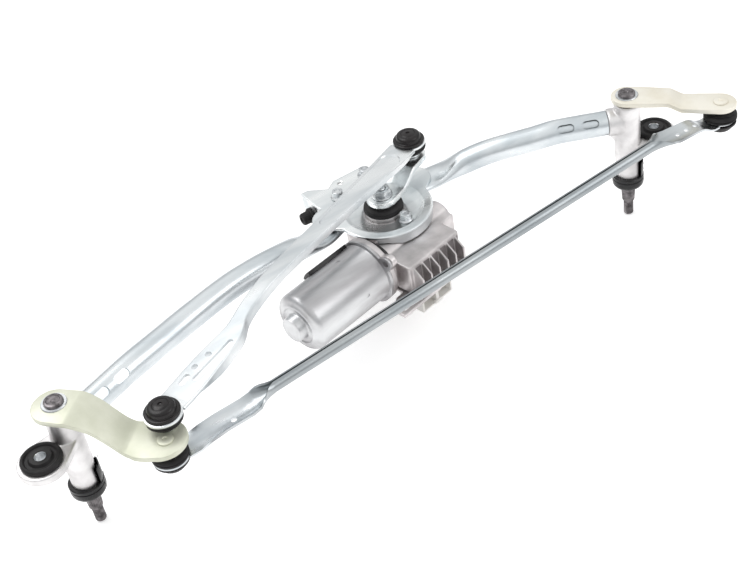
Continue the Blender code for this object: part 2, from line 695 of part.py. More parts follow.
def make_drive_rod():
    """Pressed channel rod: flat eyes, a waist and a wide embossed blade."""
    t = EYE_T
    length = ROD_LEN
    lines = [(0.0095, 0.0, 0.0112, 0.0), (0.0160, 0.0, 0.0112, 0.0), (0.0240, 0.0, 0.0113, 0.0),
             (0.0340, 0.0, 0.0114, 0.0020), (0.0480, 0.0, 0.0108, 0.0056),
             (0.0620, -0.0006, 0.0098, 0.0066), (0.0760, -0.0011, 0.0083, 0.0068),
             (0.0840, 0.0, 0.0070, 0.0067), (0.0930, 0.0025, 0.0056, 0.0066),
             (0.1080, 0.0044, 0.0056, 0.0062), (0.1350, 0.0050, 0.0062, 0.0054),
             (length - 0.1427, 0.0042, 0.0068, 0.0046),
             (length - 0.0977, 0.0028, 0.0078, 0.0040), (length - 0.0527, 0.0012, 0.0098, 0.0034),
             (length - 0.0227, 0.0004, 0.0112, 0.0022), (length - 0.0147, 0.0002, 0.0114, 0.0),
             (length - 0.0095, 0.0, 0.0112, 0.0)]
    sections = []
    for x, c, w, d in lines:
        top, low, tip = t / 2, -t / 2, -t / 2 - max(d, 0.0002)
        inner = w - 0.0020
        ring = [(x, c - w, tip), (x, c - w, top - 0.0006), (x, c - w + 0.0006, top), (x, c + w - 0.0006, top),
                (x, c + w, top - 0.0006), (x, c + w, tip), (x, c + inner, tip), (x, c + inner, low),
                (x, c - inner, low), (x, c - inner, tip)]
        sections.append(ring)
    body = loft(sections, True, "drive_rod")
    join(body, disc(EYE_R, -t / 2, t / 2, 0, 0, 40))
    join(body, disc(EYE_R - 0.0006, -t / 2, t / 2, length, 0, 40))
    cut(body, disc(CUP_BODY_R + GAP, -0.02, 0.02, 0, 0, 36))
    cut(body, disc(CUP_BODY_R + GAP, -0.02, 0.02, length, 0, 36))
    slit = move(slot(0.040, 0.0016, -0.004, 0.01), Matrix.Rotation(radians(-5), 4, "Z"))
    cut(body, shift(slit, 0.0520, -0.0034))
    cut(body, shift(slot(0.0110, 0.0026, -0.004, 0.01), 0.0295, 0.0048))
    cut(body, disc(0.0024, -0.004, 0.01, 0.0420, 0.0052, 16))
    cut(body, disc(0.0024, -0.004, 0.01, 0.0550, 0.0032, 16))
    pan = [(length - 0.1160, 0.0032, 0.0036), (length - 0.0977, 0.0028, 0.0048),
           (length - 0.0527, 0.0012, 0.0068), (length - 0.0290, 0.0004, 0.0078)]
    cut(body, prism(ribbon(pan), t / 2 - 0.0008, 0.02))
    bow = [(0.0150, 0.0), (0.0340, 0.05), (0.0480, 0.14), (0.0620, 0.26), (0.0760, 0.42), (0.0900, 0.60),
           (0.1080, 0.82), (0.1350, 1.0), (length - 0.1427, 0.78), (length - 0.0977, 0.52),
           (length - 0.0527, 0.27), (length - 0.0300, 0.06), (length - 0.0150, 0.0)]
    slope = (PIN_BALL_Z - DRIVE_BALL_Z) / (length - 0.0300)
    fold(body, [(x, DRIVE_BALL_Z + slope * (x - 0.0150) + share * DRIVE_RISE) for x, share in bow])
    move(body, Matrix.Translation((DRIVE_LEFT.x, DRIVE_LEFT.y, 0)) @ Matrix.Rotation(ROD_ANGLE, 4, "Z"))
    return finish(body, "drive_rod", ZINC, DRIVE_LEFT)


def make_coupling_rod():
    """A strip rolled into a closed tube along the middle, dished and flat towards both eyes."""
    length = SHAFT_SPACING
    z0, z1 = LINK_BALL_LEFT, LINK_BALL_RIGHT
    tight = 2 * pi * 0.955
    lines = [(0.0095, 0.02, 0.90), (0.0180, 0.06, 0.92), (0.0270, 0.70, 0.95), (0.0400, 0.95, 0.98),
             (0.0600, 1.05, 1.0), (0.0670, 1.8, 1.0), (0.0720, 3.2, 1.0), (0.0770, 4.9, 1.0),
             (0.0820, tight, 1.0), (length / 2, tight, 1.0), (length - 0.0740, tight, 1.0),
             (length - 0.0690, 4.9, 1.0), (length - 0.0640, 3.2, 1.0), (length - 0.0590, 1.8, 0.98),
             (length - 0.0520, 1.0, 0.94), (length - 0.0360, 0.7, 0.88), (length - 0.0220, 0.3, 0.84),
             (length - 0.0160, 0.06, 0.82), (length - 0.0095, 0.02, 0.82)]
    levels = [(0.0, z0), (0.0145, z0), (0.0400, z0 + RISE_LEFT), (0.0600, z0 + RISE_LEFT),
              (0.0670, z0 + RISE_LEFT + 0.2 * TUBE_LIFT), (0.0720, z0 + RISE_LEFT + 0.5 * TUBE_LIFT),
              (0.0770, z0 + RISE_LEFT + 0.8 * TUBE_LIFT), (0.0820, z0 + RISE_LEFT + TUBE_LIFT),
              (length - 0.0740, z1 + RISE_RIGHT + 0.0004), (length - 0.0300, z1 + RISE_RIGHT),
              (length - 0.0250, z1 + 0.84 * RISE_RIGHT), (length - 0.0190, z1 + 0.26 * RISE_RIGHT),
              (length - 0.0145, z1), (length, z1)]
    steps = 10
    marks = sorted(set([line[0] for line in lines] + [level[0] for level in levels[1:-1]]))
    sections = []
    for x in marks:
        bend = float(np.interp(x, [v[0] for v in lines], [v[1] for v in lines]))
        scale = float(np.interp(x, [v[0] for v in lines], [v[2] for v in lines]))
        z = float(np.interp(x, [v[0] for v in levels], [v[1] for v in levels]))
        radius = ROLL_W * scale / bend
        outer = []
        inner = []
        for k in range(steps + 1):
            a = bend * (k / steps - 0.5)
            ro, ri = radius + ROLL_T / 2, radius - ROLL_T / 2
            outer.append((x, ro * sin(a), z + radius - ro * cos(a)))
            inner.append((x, ri * sin(a), z + radius - ri * cos(a)))
        sections.append(inner + outer[::-1])
    body = loft(sections, True, "coupling_rod")
    join(body, disc(EYE_R - 0.0010, z0 - ROLL_T / 2, z0 + ROLL_T / 2, 0, 0, 40))
    join(body, disc(EYE_R - 0.0025, z1 - ROLL_T / 2, z1 + ROLL_T / 2, length, 0, 40))
    cut(body, disc(CUP_BODY_R + GAP, z0 - 0.02, z0 + 0.02, 0, 0, 36))
    cut(body, disc(CUP_BODY_R + GAP, z1 - 0.02, z1 + 0.02, length, 0, 36))
    cut(body, disc(0.0022, z0 - 0.01, z0 + 0.03, 0.0480, -0.0020, 16))
    for back in (0.0455, 0.0365, 0.0275):
        cut(body, disc(0.0018, z1 - 0.02, z1 + 0.02, length - back, 0.0, 14))
    move(body, Matrix.Translation((LINK_LEFT.x, LINK_LEFT.y, 0)))
    return finish(body, "coupling_rod", ZINC, LINK_LEFT)


# Crank and output shaft

def make_crank_arm():
    drop = CRANK_PIN_TOP - CRANK_HUB_TOP
    ob = prism(capsule(0.0, CRANK_RADIUS, CRANK_HUB_R, CRANK_PIN_R, 18), -CRANK_T, 0.0, "crank_arm", 0.0006)
    cut(ob, disc(OUT_SHAFT_R + GAP, -0.02, 0.02, 0, 0, 28))
    cut(ob, disc(0.0045 + GAP, -0.02, 0.02, CRANK_RADIUS, 0, 28))
    fold(ob, smooth_marks(0.0135, 0.0330, -drop, 6))
    move(ob, Matrix.Translation((HUB.x, HUB.y, CRANK_HUB_TOP)) @ Matrix.Rotation(ROD_ANGLE, 4, "Z"))
    return finish(ob, "crank_arm", ZINC, HUB)


def make_crank_rivet():
    low = CRANK_PIN_TOP - CRANK_T - GAP
    ob = turned([(0.0, low - 0.0014), (0.0056, low - 0.0014), (0.0066, low - 0.0007), (0.0066, low),
                 (0.0045, low), (0.0045, CRANK_PIN_TOP - 0.0001), (0.0, CRANK_PIN_TOP - 0.0001)], 32)
    return finish(shift(ob, PIN.x, PIN.y), "crank_pin_shank", STEEL, HUB)


def make_output_shaft():
    top = 0.0955
    ob = turned([(0.0, 0.0440), (OUT_SHAFT_R - 0.0006, 0.0440), (OUT_SHAFT_R, 0.0446),
                 (OUT_SHAFT_R, 0.0600), (OUT_SHAFT_R, 0.0820), (OUT_SHAFT_R, CRANK_HUB_TOP - 0.0012),
                 (OUT_SHAFT_R - 0.0011, CRANK_HUB_TOP - 0.0002), (OUT_SHAFT_R - 0.0011, top - 0.0007),
                 (OUT_SHAFT_R - 0.0018, top), (0.0, top)], 36,
                "output_shaft", (0.0815, CRANK_HUB_TOP, 0.0003))
    return finish(shift(ob, HUB.x, HUB.y), "output_shaft", DARK_STEEL, HUB)


def make_crank_nut():
    low = CRANK_HUB_TOP + GAP
    bore = OUT_SHAFT_R - 0.0011 + GAP
    hexagon = [(0.0075 * cos(pi / 3 * k + 0.3), 0.0075 * sin(pi / 3 * k + 0.3)) for k in range(6)]
    ob = prism(hexagon, low + 0.0010, low + 0.0062, "nut", 0.0006)
    join(ob, disc(0.0086, low, low + 0.0014, 0, 0, 32, 0.0003))
    cut(ob, disc(bore, low - 0.01, low + 0.02, 0, 0, 28))
    return finish(shift(ob, HUB.x, HUB.y), "crank_nut", DARK_STEEL, HUB)


def make_worm_wheel():
    """Moulded wheel with raked teeth and a webbed disc."""
    teeth = 36
    depth = 0.0015
    z0, z1 = AXIS_Z - 0.0055, AXIS_Z + 0.0055
    rings = []
    for z in (z0, z1):
        rake = (z - AXIS_Z) * 4.0
        ring = []
        for k in range(teeth * 2):
            r = WHEEL_R if k % 2 else WHEEL_R - depth
            a = 2 * pi * k / (teeth * 2) + rake
            ring.append((r * cos(a), r * sin(a), z))
        rings.append(ring)
    ob = loft(rings, True, "worm_wheel")
    for side in (-1, 1):
        face = AXIS_Z + side * 0.0055
        groove = turned([(0.0085, face - side * 0.0030), (0.0150, face - side * 0.0030),
                         (0.0150, face + side * 0.0030), (0.0085, face + side * 0.0030)], 36)
        cut(ob, groove)
    cut(ob, disc(OUT_SHAFT_R + GAP, z0 - 0.01, z1 + 0.01, 0, 0, 36))
    return finish(shift(ob, HUB.x, HUB.y), "worm_wheel", WHITE, HUB)


# Motor

def make_motor_can():
    """Drawn steel can with a bearing boss, a rolled rim and two fixing ears."""
    r, w = CAN_R, CAN_WALL
    z0, z1 = CAN_REAR, CAN_FRONT
    boss = 0.0088
    profile = [(0.0, z0), (boss - 0.0014, z0), (boss, z0 + 0.0014), (boss, z0 + 0.0070),
               (boss + 0.0012, z0 + 0.0080), (boss + 0.0040, z0 + 0.0080), (boss + 0.0052, z0 + 0.0066),
               (r - 0.0062, z0 + 0.0066), (r - 0.0050, z0 + 0.0080), (r - 0.0015, z0 + 0.0095),
               (r, z0 + 0.0130), (r, z1 - 0.0030), (r + 0.0030, z1 - 0.0022), (r + 0.0030, z1),
               (r - w, z1), (r - w, z0 + 0.0130), (r - w - 0.0012, z0 + 0.0104), (r - 0.0056, z0 + 0.0094),
               (boss - w, z0 + 0.0094), (boss - w, z0 + w + 0.0008), (boss - w - 0.0008, z0 + w),
               (0.0, z0 + w)]
    ob = turned(profile, 48, "motor_can")
    for a in (0.9, 0.9 + pi):
        ear = prism(capsule(0.0, r + 0.0065, 0.0110, 0.0052, 12), z1 - 0.0022, z1, "ear")
        cut(ear, disc(r + 0.0015, z1 - 0.01, z1 + 0.01, 0, 0, 48))
        cut(ear, disc(0.0024, z1 - 0.01, z1 + 0.01, r + 0.0065, 0, 16))
        join(ob, move(ear, Matrix.Rotation(a, 4, "Z")))
    for a in (0.0, pi):
        window = box(-0.0045, 0.0045, -0.030, -0.010, z1 - 0.0160, z1 - 0.0110)
        cut(ob, move(window, Matrix.Rotation(a + 2.2, 4, "Z")))
    return finish(on_axis(ob), "motor_can", CAN_STEEL)


def make_can_bearing():
    z0 = CAN_REAR + CAN_WALL + GAP + 0.0008
    r = 0.0088 - CAN_WALL - GAP
    bore = 0.0032 + GAP
    ob = turned([(bore, z0), (r - 0.0018, z0), (r, z0 + 0.0020), (r, z0 + 0.0042), (r - 0.0018, z0 + 0.0062),
                 (bore, z0 + 0.0062)], 32)
    return finish(on_axis(ob), "can_bearing", BRONZE)


def make_magnet(name, side):
    outer = CAN_R - CAN_WALL - GAP
    inner = outer - 0.0055
    z0, z1 = CAN_REAR + 0.0160, CAN_FRONT - 0.0180
    pts = []
    span = radians(66)
    for k in range(15):
        a = -span + 2 * span * k / 14
        pts.append((outer * cos(a), outer * sin(a)))
    for k in range(15):
        a = span - 2 * span * k / 14
        pts.append((inner * cos(a), inner * sin(a)))
    ob = prism(pts, z0, z1, name, 0.0004)
    move(ob, Matrix.Rotation(0.0 if side > 0 else pi, 4, "Z"))
    return finish(on_axis(ob), name, FERRITE)


CORE_R = CAN_R - CAN_WALL - GAP - 0.0055 - 0.0008


def make_armature_shaft():
    """Armature spindle with the worm cut into its front end."""
    r = 0.0032
    z0, z1 = CAN_REAR + CAN_WALL + 0.0020, 0.0330
    seg = 12
    stations = [(z0, r - 0.0006, 0), (z0 + 0.0006, r, 0), (-0.0165, r, 0), (-0.0160, WORM_R - 0.0016, 0)]
    pitch = 0.0050
    z = -0.0150
    while z <= 0.0150:
        stations.append((z, WORM_R, 1))
        z += pitch / 4
    stations += [(0.0160, WORM_R - 0.0016, 0), (0.0165, r, 0), (z1 - 0.0006, r, 0), (z1, r - 0.0006, 0)]
    rings = []
    for z, rad, kind in stations:
        ring = []
        for k in range(seg):
            a = 2 * pi * k / seg
            use = rad
            if kind:
                use = rad - 0.0008 * (1 - cos(2 * pi * z / pitch - a))
            ring.append((use * cos(a), use * sin(a), z))
        rings.append(ring)
    ob = loft(rings, True, "armature_shaft")
    at = ALONG @ Vector((0, 0, 0))
    return finish(on_axis(ob), "armature_shaft", STEEL, at)


def make_armature_core():
    """Slotted core with its windings as raised end turns."""
    z0, z1 = CAN_REAR + 0.0220, CAN_FRONT - 0.0260
    pts = []
    slots = 8
    for k in range(slots):
        for frac, r in ((-0.40, CORE_R), (0.0, CORE_R), (0.40, CORE_R),
                        (0.44, CORE_R - 0.0040), (0.56, CORE_R - 0.0040)):
            a = 2 * pi * (k + frac) / slots
            pts.append((r * cos(a), r * sin(a)))
    ob = prism(pts, z0, z1, "core")
    bore = 0.0032 + GAP
    for face, out in ((z0, -0.0052), (z1, 0.0052)):
        lo, hi = min(face - out * 0.1, face + out), max(face - out * 0.1, face + out)
        join(ob, turned([(bore, lo), (CORE_R - 0.0042, lo), (CORE_R - 0.0042, hi), (bore, hi)], 24))
    cut(ob, disc(bore, z0 - 0.02, z1 + 0.02, 0, 0, 24))
    at = ALONG @ Vector((0, 0, 0))
    return finish(on_axis(ob), "armature_core", LAMINATION, at)


def make_commutator():
    z0, z1 = CAN_FRONT - 0.0150, CAN_FRONT - 0.0040
    pts = []
    bars = 8
    for k in range(bars):
        for frac, r in ((-0.40, 0.0080), (0.0, 0.0080), (0.40, 0.0080), (0.5, 0.0072)):
            a = 2 * pi * (k + frac) / bars
            pts.append((r * cos(a), r * sin(a)))
    ob = prism(pts, z0, z1, "commutator")
    cut(ob, disc(0.0032 + GAP, z0 - 0.01, z1 + 0.01, 0, 0, 24))
    at = ALONG @ Vector((0, 0, 0))
    return finish(on_axis(ob), "commutator", COPPER, at)


def make_brush_card():
    """Moulded card inside the can with two brush boxes."""
    z0 = CAN_FRONT - 0.0135
    r = CAN_R - CAN_WALL - GAP
    ob = turned([(0.0105, z0), (r, z0), (r, z0 + 0.0020), (0.0105, z0 + 0.0020)], 40)
    for a in (0.0, pi):
        holder = box(0.0100, 0.0200, -0.0032, 0.0032, z0 + 0.0010, z0 + 0.0085)
        cut(holder, box(0.0090, 0.0185, -0.0020, 0.0020, z0 + 0.0030, z0 + 0.0072))
        join(ob, move(holder, Matrix.Rotation(a, 4, "Z")))
    return finish(on_axis(ob), "brush_card", BLACK)


BOX_S0, BOX_S1 = -0.0370, 0.0200
BOX_T0, BOX_T1 = -0.0590, -0.0380
FIN_REACH = 0.0095
LUGS = ((0.0055, -0.0218), (-0.0190, 0.0370), (0.0135, 0.0465))
DECKS = (PLATE_TOP - DISH_DEPTH, PLATE_TOP, PLATE_TOP)
SCREW_LOW = (0.0674, 0.0570, 0.0570)


def lug_local(k):
    """Screw places round the output shaft, in the motor's own axes."""
    x, y = LUGS[k]
    turn = Matrix.Rotation(-MOTOR_TURN, 4, "Z")
    return turn @ Vector((x, y, 0.0))


def make_gear_housing():
    """Die-cast gear case: drum, worm tunnel, can flange, side bay and ribs."""
    low, top = GEAR_LOW, GEAR_TOP
    body = disc(DRUM_R, low, top, 0, 0, 48, 0.0012)
    tunnel = turned([(0.0, CAN_FRONT + 0.004), (0.0135, CAN_FRONT + 0.004), (0.0135, 0.0345),
                     (0.0120, 0.0365), (0.0, 0.0365)], 32)
    flange = turned([(0.0, CAN_FRONT + GAP), (CAN_R + 0.0028, CAN_FRONT + GAP),
                     (CAN_R + 0.0028, CAN_FRONT + 0.0050), (0.0150, CAN_FRONT + 0.0130),
                     (0.0, CAN_FRONT + 0.0130)], 48)
    lay = Matrix.Translation((0.0, -WORM_OFFSET, AXIS_Z)) @ Matrix.Rotation(pi / 2, 4, "Y")
    for a in (0.9, 0.9 + pi):
        ear = prism(capsule(0.0, CAN_R + 0.0065, 0.0110, 0.0052, 12), CAN_FRONT + GAP, CAN_FRONT + 0.0055)
        join(flange, move(ear, Matrix.Rotation(a, 4, "Z")))
    join(body, move(tunnel, lay), move(flange, lay))
    bay = box(BOX_S0, BOX_S1, BOX_T0, BOX_T1 + 0.012, low, 0.0655, "bay", 0.0012)
    join(body, bay)
    join(body, box(-0.030, 0.0335, -0.0425, -0.0120, low, 0.0655, "bridge", 0.0010))
    join(body, disc(BOSS_R, top - 0.002, BOSS_TOP, 0, 0, 40, 0.0008))
    for k in (1, 2):
        at = lug_local(k)
        lug = prism(capsule(0.0, at.length, 0.0180, 0.0078, 14), top - 0.020, top - 0.0006)
        join(body, move(lug, Matrix.Rotation(atan2(at.y, at.x), 4, "Z")))
        join(body, disc(0.0072, top - 0.0100, DECKS[k] - PLATE_T - GAP, at.x, at.y, 36))
    for k in range(6):
        s = BOX_S0 + 0.0050 + k * 0.0094
        rib = prism([(BOX_T0 + 0.001, 0.0645), (BOX_T0 - FIN_REACH, 0.0560), (BOX_T0 - FIN_REACH, low + 0.0030),
                     (BOX_T0 + 0.001, low + 0.0010)], -0.0009, 0.0009)
        place = Matrix(((0, 0, 1, s), (1, 0, 0, 0), (0, 1, 0, 0), (0, 0, 0, 1)))
        join(body, move(rib, place))
    shelf = BOX_T0 - FIN_REACH + 0.0005
    join(body, box(BOX_S0 + 0.002, BOX_S1 - 0.001, shelf, BOX_T0 + 0.001, low, low + 0.0030))
    cut(body, disc(DRUM_R - WALL, low - 0.01, top - 0.0035, 0, 0, 48))
    bore = turned([(0.0, CAN_FRONT - 0.01), (0.0100, CAN_FRONT - 0.01), (0.0100, 0.0180),
                   (0.0062, 0.0180), (0.0062, 0.0345), (0.0, 0.0345)], 28)
    cut(body, move(bore, lay))
    cut(body, box(BOX_S0 + WALL, BOX_S1 - WALL, BOX_T0 + WALL, -0.0400, low - 0.01, 0.0655 - WALL))
    cut(body, disc(OUT_SHAFT_R + GAP + 0.0020 + GAP, 0.05, 0.10, 0, 0, 36))
    for k in range(3):
        at = lug_local(k)
        cut(body, disc(0.0030 + GAP, SCREW_LOW[k] - GAP, 0.10, at.x, at.y, 20))
    for a in (0.9, 0.9 + pi):
        hole = turned([(0.0, CAN_FRONT - 0.01), (0.0024, CAN_FRONT - 0.01), (0.0024, CAN_FRONT + 0.02),
                       (0.0, CAN_FRONT + 0.02)], 16)
        shift(hole, CAN_R + 0.0065, 0, 0)
        move(hole, Matrix.Rotation(a, 4, "Z"))
        cut(body, move(hole, lay))
    return finish(on_motor(body), "gear_housing", CAST)


def flange_relief():
    """Room for the can flange and the worm tunnel, in the motor's own axes."""
    ob = turned([(0.0, CAN_FRONT - 0.002), (CAN_R + 0.0036, CAN_FRONT - 0.002),
                 (CAN_R + 0.0036, CAN_FRONT + 0.0056), (0.0162, CAN_FRONT + 0.0138),
                 (0.0141, CAN_FRONT + 0.0160), (0.0141, 0.0450), (0.0, 0.0450)], 48)
    return move(ob, Matrix.Translation((0.0, -WORM_OFFSET, AXIS_Z)) @ Matrix.Rotation(pi / 2, 4, "Y"))


def make_gear_cover():
    """Bottom cover that closes the gear case and carries the connector lug."""
    top = GEAR_LOW - GAP
    low = top - 0.0070
    body = disc(DRUM_R + 0.0010, top - 0.0030, top, 0, 0, 48, 0.0006)
    join(body, disc(DRUM_R - 0.0060, low, top - 0.0020, 0, 0, 40, 0.0012))
    join(body, box(BOX_S0 - 0.001, BOX_S1 + 0.001, BOX_T0 - 0.0010, -0.0200, top - 0.0030, top, "lid"))
    join(body, box(BOX_S0 + 0.004, BOX_S1 - 0.004, BOX_T0 + 0.003, -0.0240, low, top - 0.0020, "pan", 0.0010))
    lug = prism([(-0.058, -0.070), (-0.016, -0.070), (-0.010, -0.060), (-0.010, -0.050), (-0.046, -0.050),
                 (-0.058, -0.058)], top - 0.0030, top, "lug")
    join(body, lug)
    cut(body, shift(slot(0.0080, 0.0022, low - 0.01, top + 0.01), -0.050, -0.0640))
    cut(body, disc(0.0032, low - 0.01, top + 0.01, -0.036, -0.0650, 16))
    cut(body, disc(0.0022, low - 0.01, top + 0.01, -0.021, -0.0655, 16))
    for k in range(5):
        y = -0.052 + k * 0.0065
        cut(body, box(0.004, 0.014, y, y + 0.0022, low - 0.001, low + 0.0012))
    cut(body, flange_relief())
    return finish(on_motor(body), "gear_cover", CAST)


def make_connector():
    """Two-bay plug socket hanging under the side bay, open to the front."""
    top = GEAR_LOW - 0.0073 - GAP
    body = box(-0.0330, 0.0010, -0.0640, -0.0400, top - 0.0120, top, "connector", 0.0010)
    cut(body, box(-0.0310, -0.0175, -0.0700, -0.0440, top - 0.0102, top - 0.0020))
    cut(body, box(-0.0145, -0.0010, -0.0700, -0.0440, top - 0.0102, top - 0.0020))
    join(body, box(-0.0200, -0.0120, -0.0655, -0.0630, top - 0.0112, top - 0.0085, "latch"))
    return finish(on_motor(body), "connector", WHITE)


def make_output_bush():
    inner = OUT_SHAFT_R + GAP
    outer = inner + 0.0020
    ob = turned([(inner, BOSS_TOP - 0.0125), (outer, BOSS_TOP - 0.0125),
                 (outer, BOSS_TOP - 0.0005), (inner, BOSS_TOP - 0.0005)], 36)
    return finish(on_motor(ob), "output_bush", BRONZE)


def make_output_seal():
    """Rubber seal cap on the output boss, under the crank."""
    low = BOSS_TOP + GAP
    inner = OUT_SHAFT_R + GAP
    ob = turned([(inner, low), (SEAL_R - 0.0005, low), (SEAL_R, low + 0.0015), (SEAL_R - 0.0010, low + 0.0050),
                 (SEAL_R - 0.0050, low + 0.0060), (SEAL_R - 0.0062, low + 0.0073), (inner, low + 0.0073)], 40)
    return finish(on_motor(ob), "output_seal", RUBBER)


def make_bracket_screw(name, k):
    """Flanged hexagon screw that holds the motor to the bracket."""
    x, y = LUGS[k]
    deck = DECKS[k] + GAP
    low = SCREW_LOW[k]
    head = SCREW_HEAD_R
    profile = [(0.0, low), (0.0026, low), (0.0030, low + 0.0006), (0.0030, deck), (head, deck),
               (head, deck + 0.0012), (head - 0.0008, deck + 0.0020), (0.0, deck + 0.0020)]
    ob = turned(profile, 34)
    hexagon = [(0.0047 * cos(pi / 3 * j + k), 0.0047 * sin(pi / 3 * j + k)) for j in range(6)]
    join(ob, prism(hexagon, deck + 0.0015, deck + 0.0062, "head", 0.0005))
    return finish(shift(ob, HUB.x + x, HUB.y + y), name, STEEL)


def make_cable_strip():
    """Moulded strip that carries the motor leads along the can."""
    r = CAN_R + GAP
    pts = []
    for k in range(9):
        a = radians(-14) + radians(28) * k / 8
        pts.append(((r + 0.0030) * cos(a), (r + 0.0030) * sin(a)))
    for k in range(9):
        a = radians(14) - radians(28) * k / 8
        pts.append((r * cos(a), r * sin(a)))
    ob = prism(pts, -0.0920, CAN_FRONT - 0.0040, "strip", 0.0005)
    move(ob, Matrix.Rotation(radians(180 - 52), 4, "Z"))
    return finish(on_axis(ob), "lead_strip", BLACK)


# Frame

def spline(points, count):
    """Even points on a smooth curve through the given ones."""
    pts = [Vector(p) for p in points]
    pts = [pts[0] * 2 - pts[1]] + pts + [pts[-1] * 2 - pts[-2]]
    out = []
    for i in range(1, len(pts) - 2):
        for k in range(count):
            t = k / count
            a, b, c, d = pts[i - 1], pts[i], pts[i + 1], pts[i + 2]
            out.append(0.5 * ((2 * b) + (c - a) * t + (2 * a - 5 * b + 4 * c - d) * t * t
                              + (3 * b - a - 3 * c + d) * t * t * t))
    out.append(pts[-2])
    return out


LEFT_DIR = Vector((0.940, 0.342, 0.0)).normalized()
RIGHT_DIR = Vector((-0.880, 0.475, 0.0)).normalized()
FLAT_Z = PLATE_TOP - PLATE_T - GAP - FLAT_HALF_H
LEFT_END = Vector((LEFT_END_X, LEFT_END_Y, FLAT_Z))
RIGHT_END = Vector((RIGHT_END_X, RIGHT_END_Y, FLAT_Z))


def make_tube(name, start, direction, mids, end):
    """Frame tube: round on its spigot, pressed flat where it meets the bracket."""
    a = start + direction * SOCKET_REACH + Vector((0, 0, SOCKET_Z))
    b = start + direction * (SOCKET_REACH + SPIGOT_LEN) + Vector((0, 0, SOCKET_Z))
    path = [a, b] + spline([b] + mids + [end], 4)[1:]
    total = [0.0]
    for p, q in zip(path[:-1], path[1:]):
        total.append(total[-1] + (q - p).length)
    outer = []
    inner = []
    for d in total:
        left = total[-1] - d
        t = min(max((0.050 - left) / 0.028, 0.0), 1.0)
        t = t * t * (3 - 2 * t)
        half_h = TUBE_R + (FLAT_HALF_H - TUBE_R) * t
        half_w = TUBE_R + (FLAT_HALF_W - TUBE_R) * t
        outer.append((half_w, half_h))
        inner.append((half_w - TUBE_WALL, half_h - TUBE_WALL))
    ob = pipe(path, outer, inner, 32, name)
    turn = Matrix.Rotation(atan2(direction.y, direction.x), 4, "Z")
    roll = radians(38) if direction.x > 0 else radians(-38)
    for where in (0.014, 0.034):
        stake = slot(0.0130, 0.0026, TUBE_R - STAKE_DEPTH, TUBE_R + 0.004)
        move(stake, turn @ Matrix.Rotation(roll, 4, "X"))
        shift(stake, *(start + direction * (SOCKET_REACH + where) + Vector((0, 0, SOCKET_Z))))
        cut(ob, stake)
    return finish(ob, name, ZINC)


MOUNT_X = 0.0150
MOUNT_Y = 0.1165
MOUNT_Z = 0.0610
PLUG_R = 0.0068


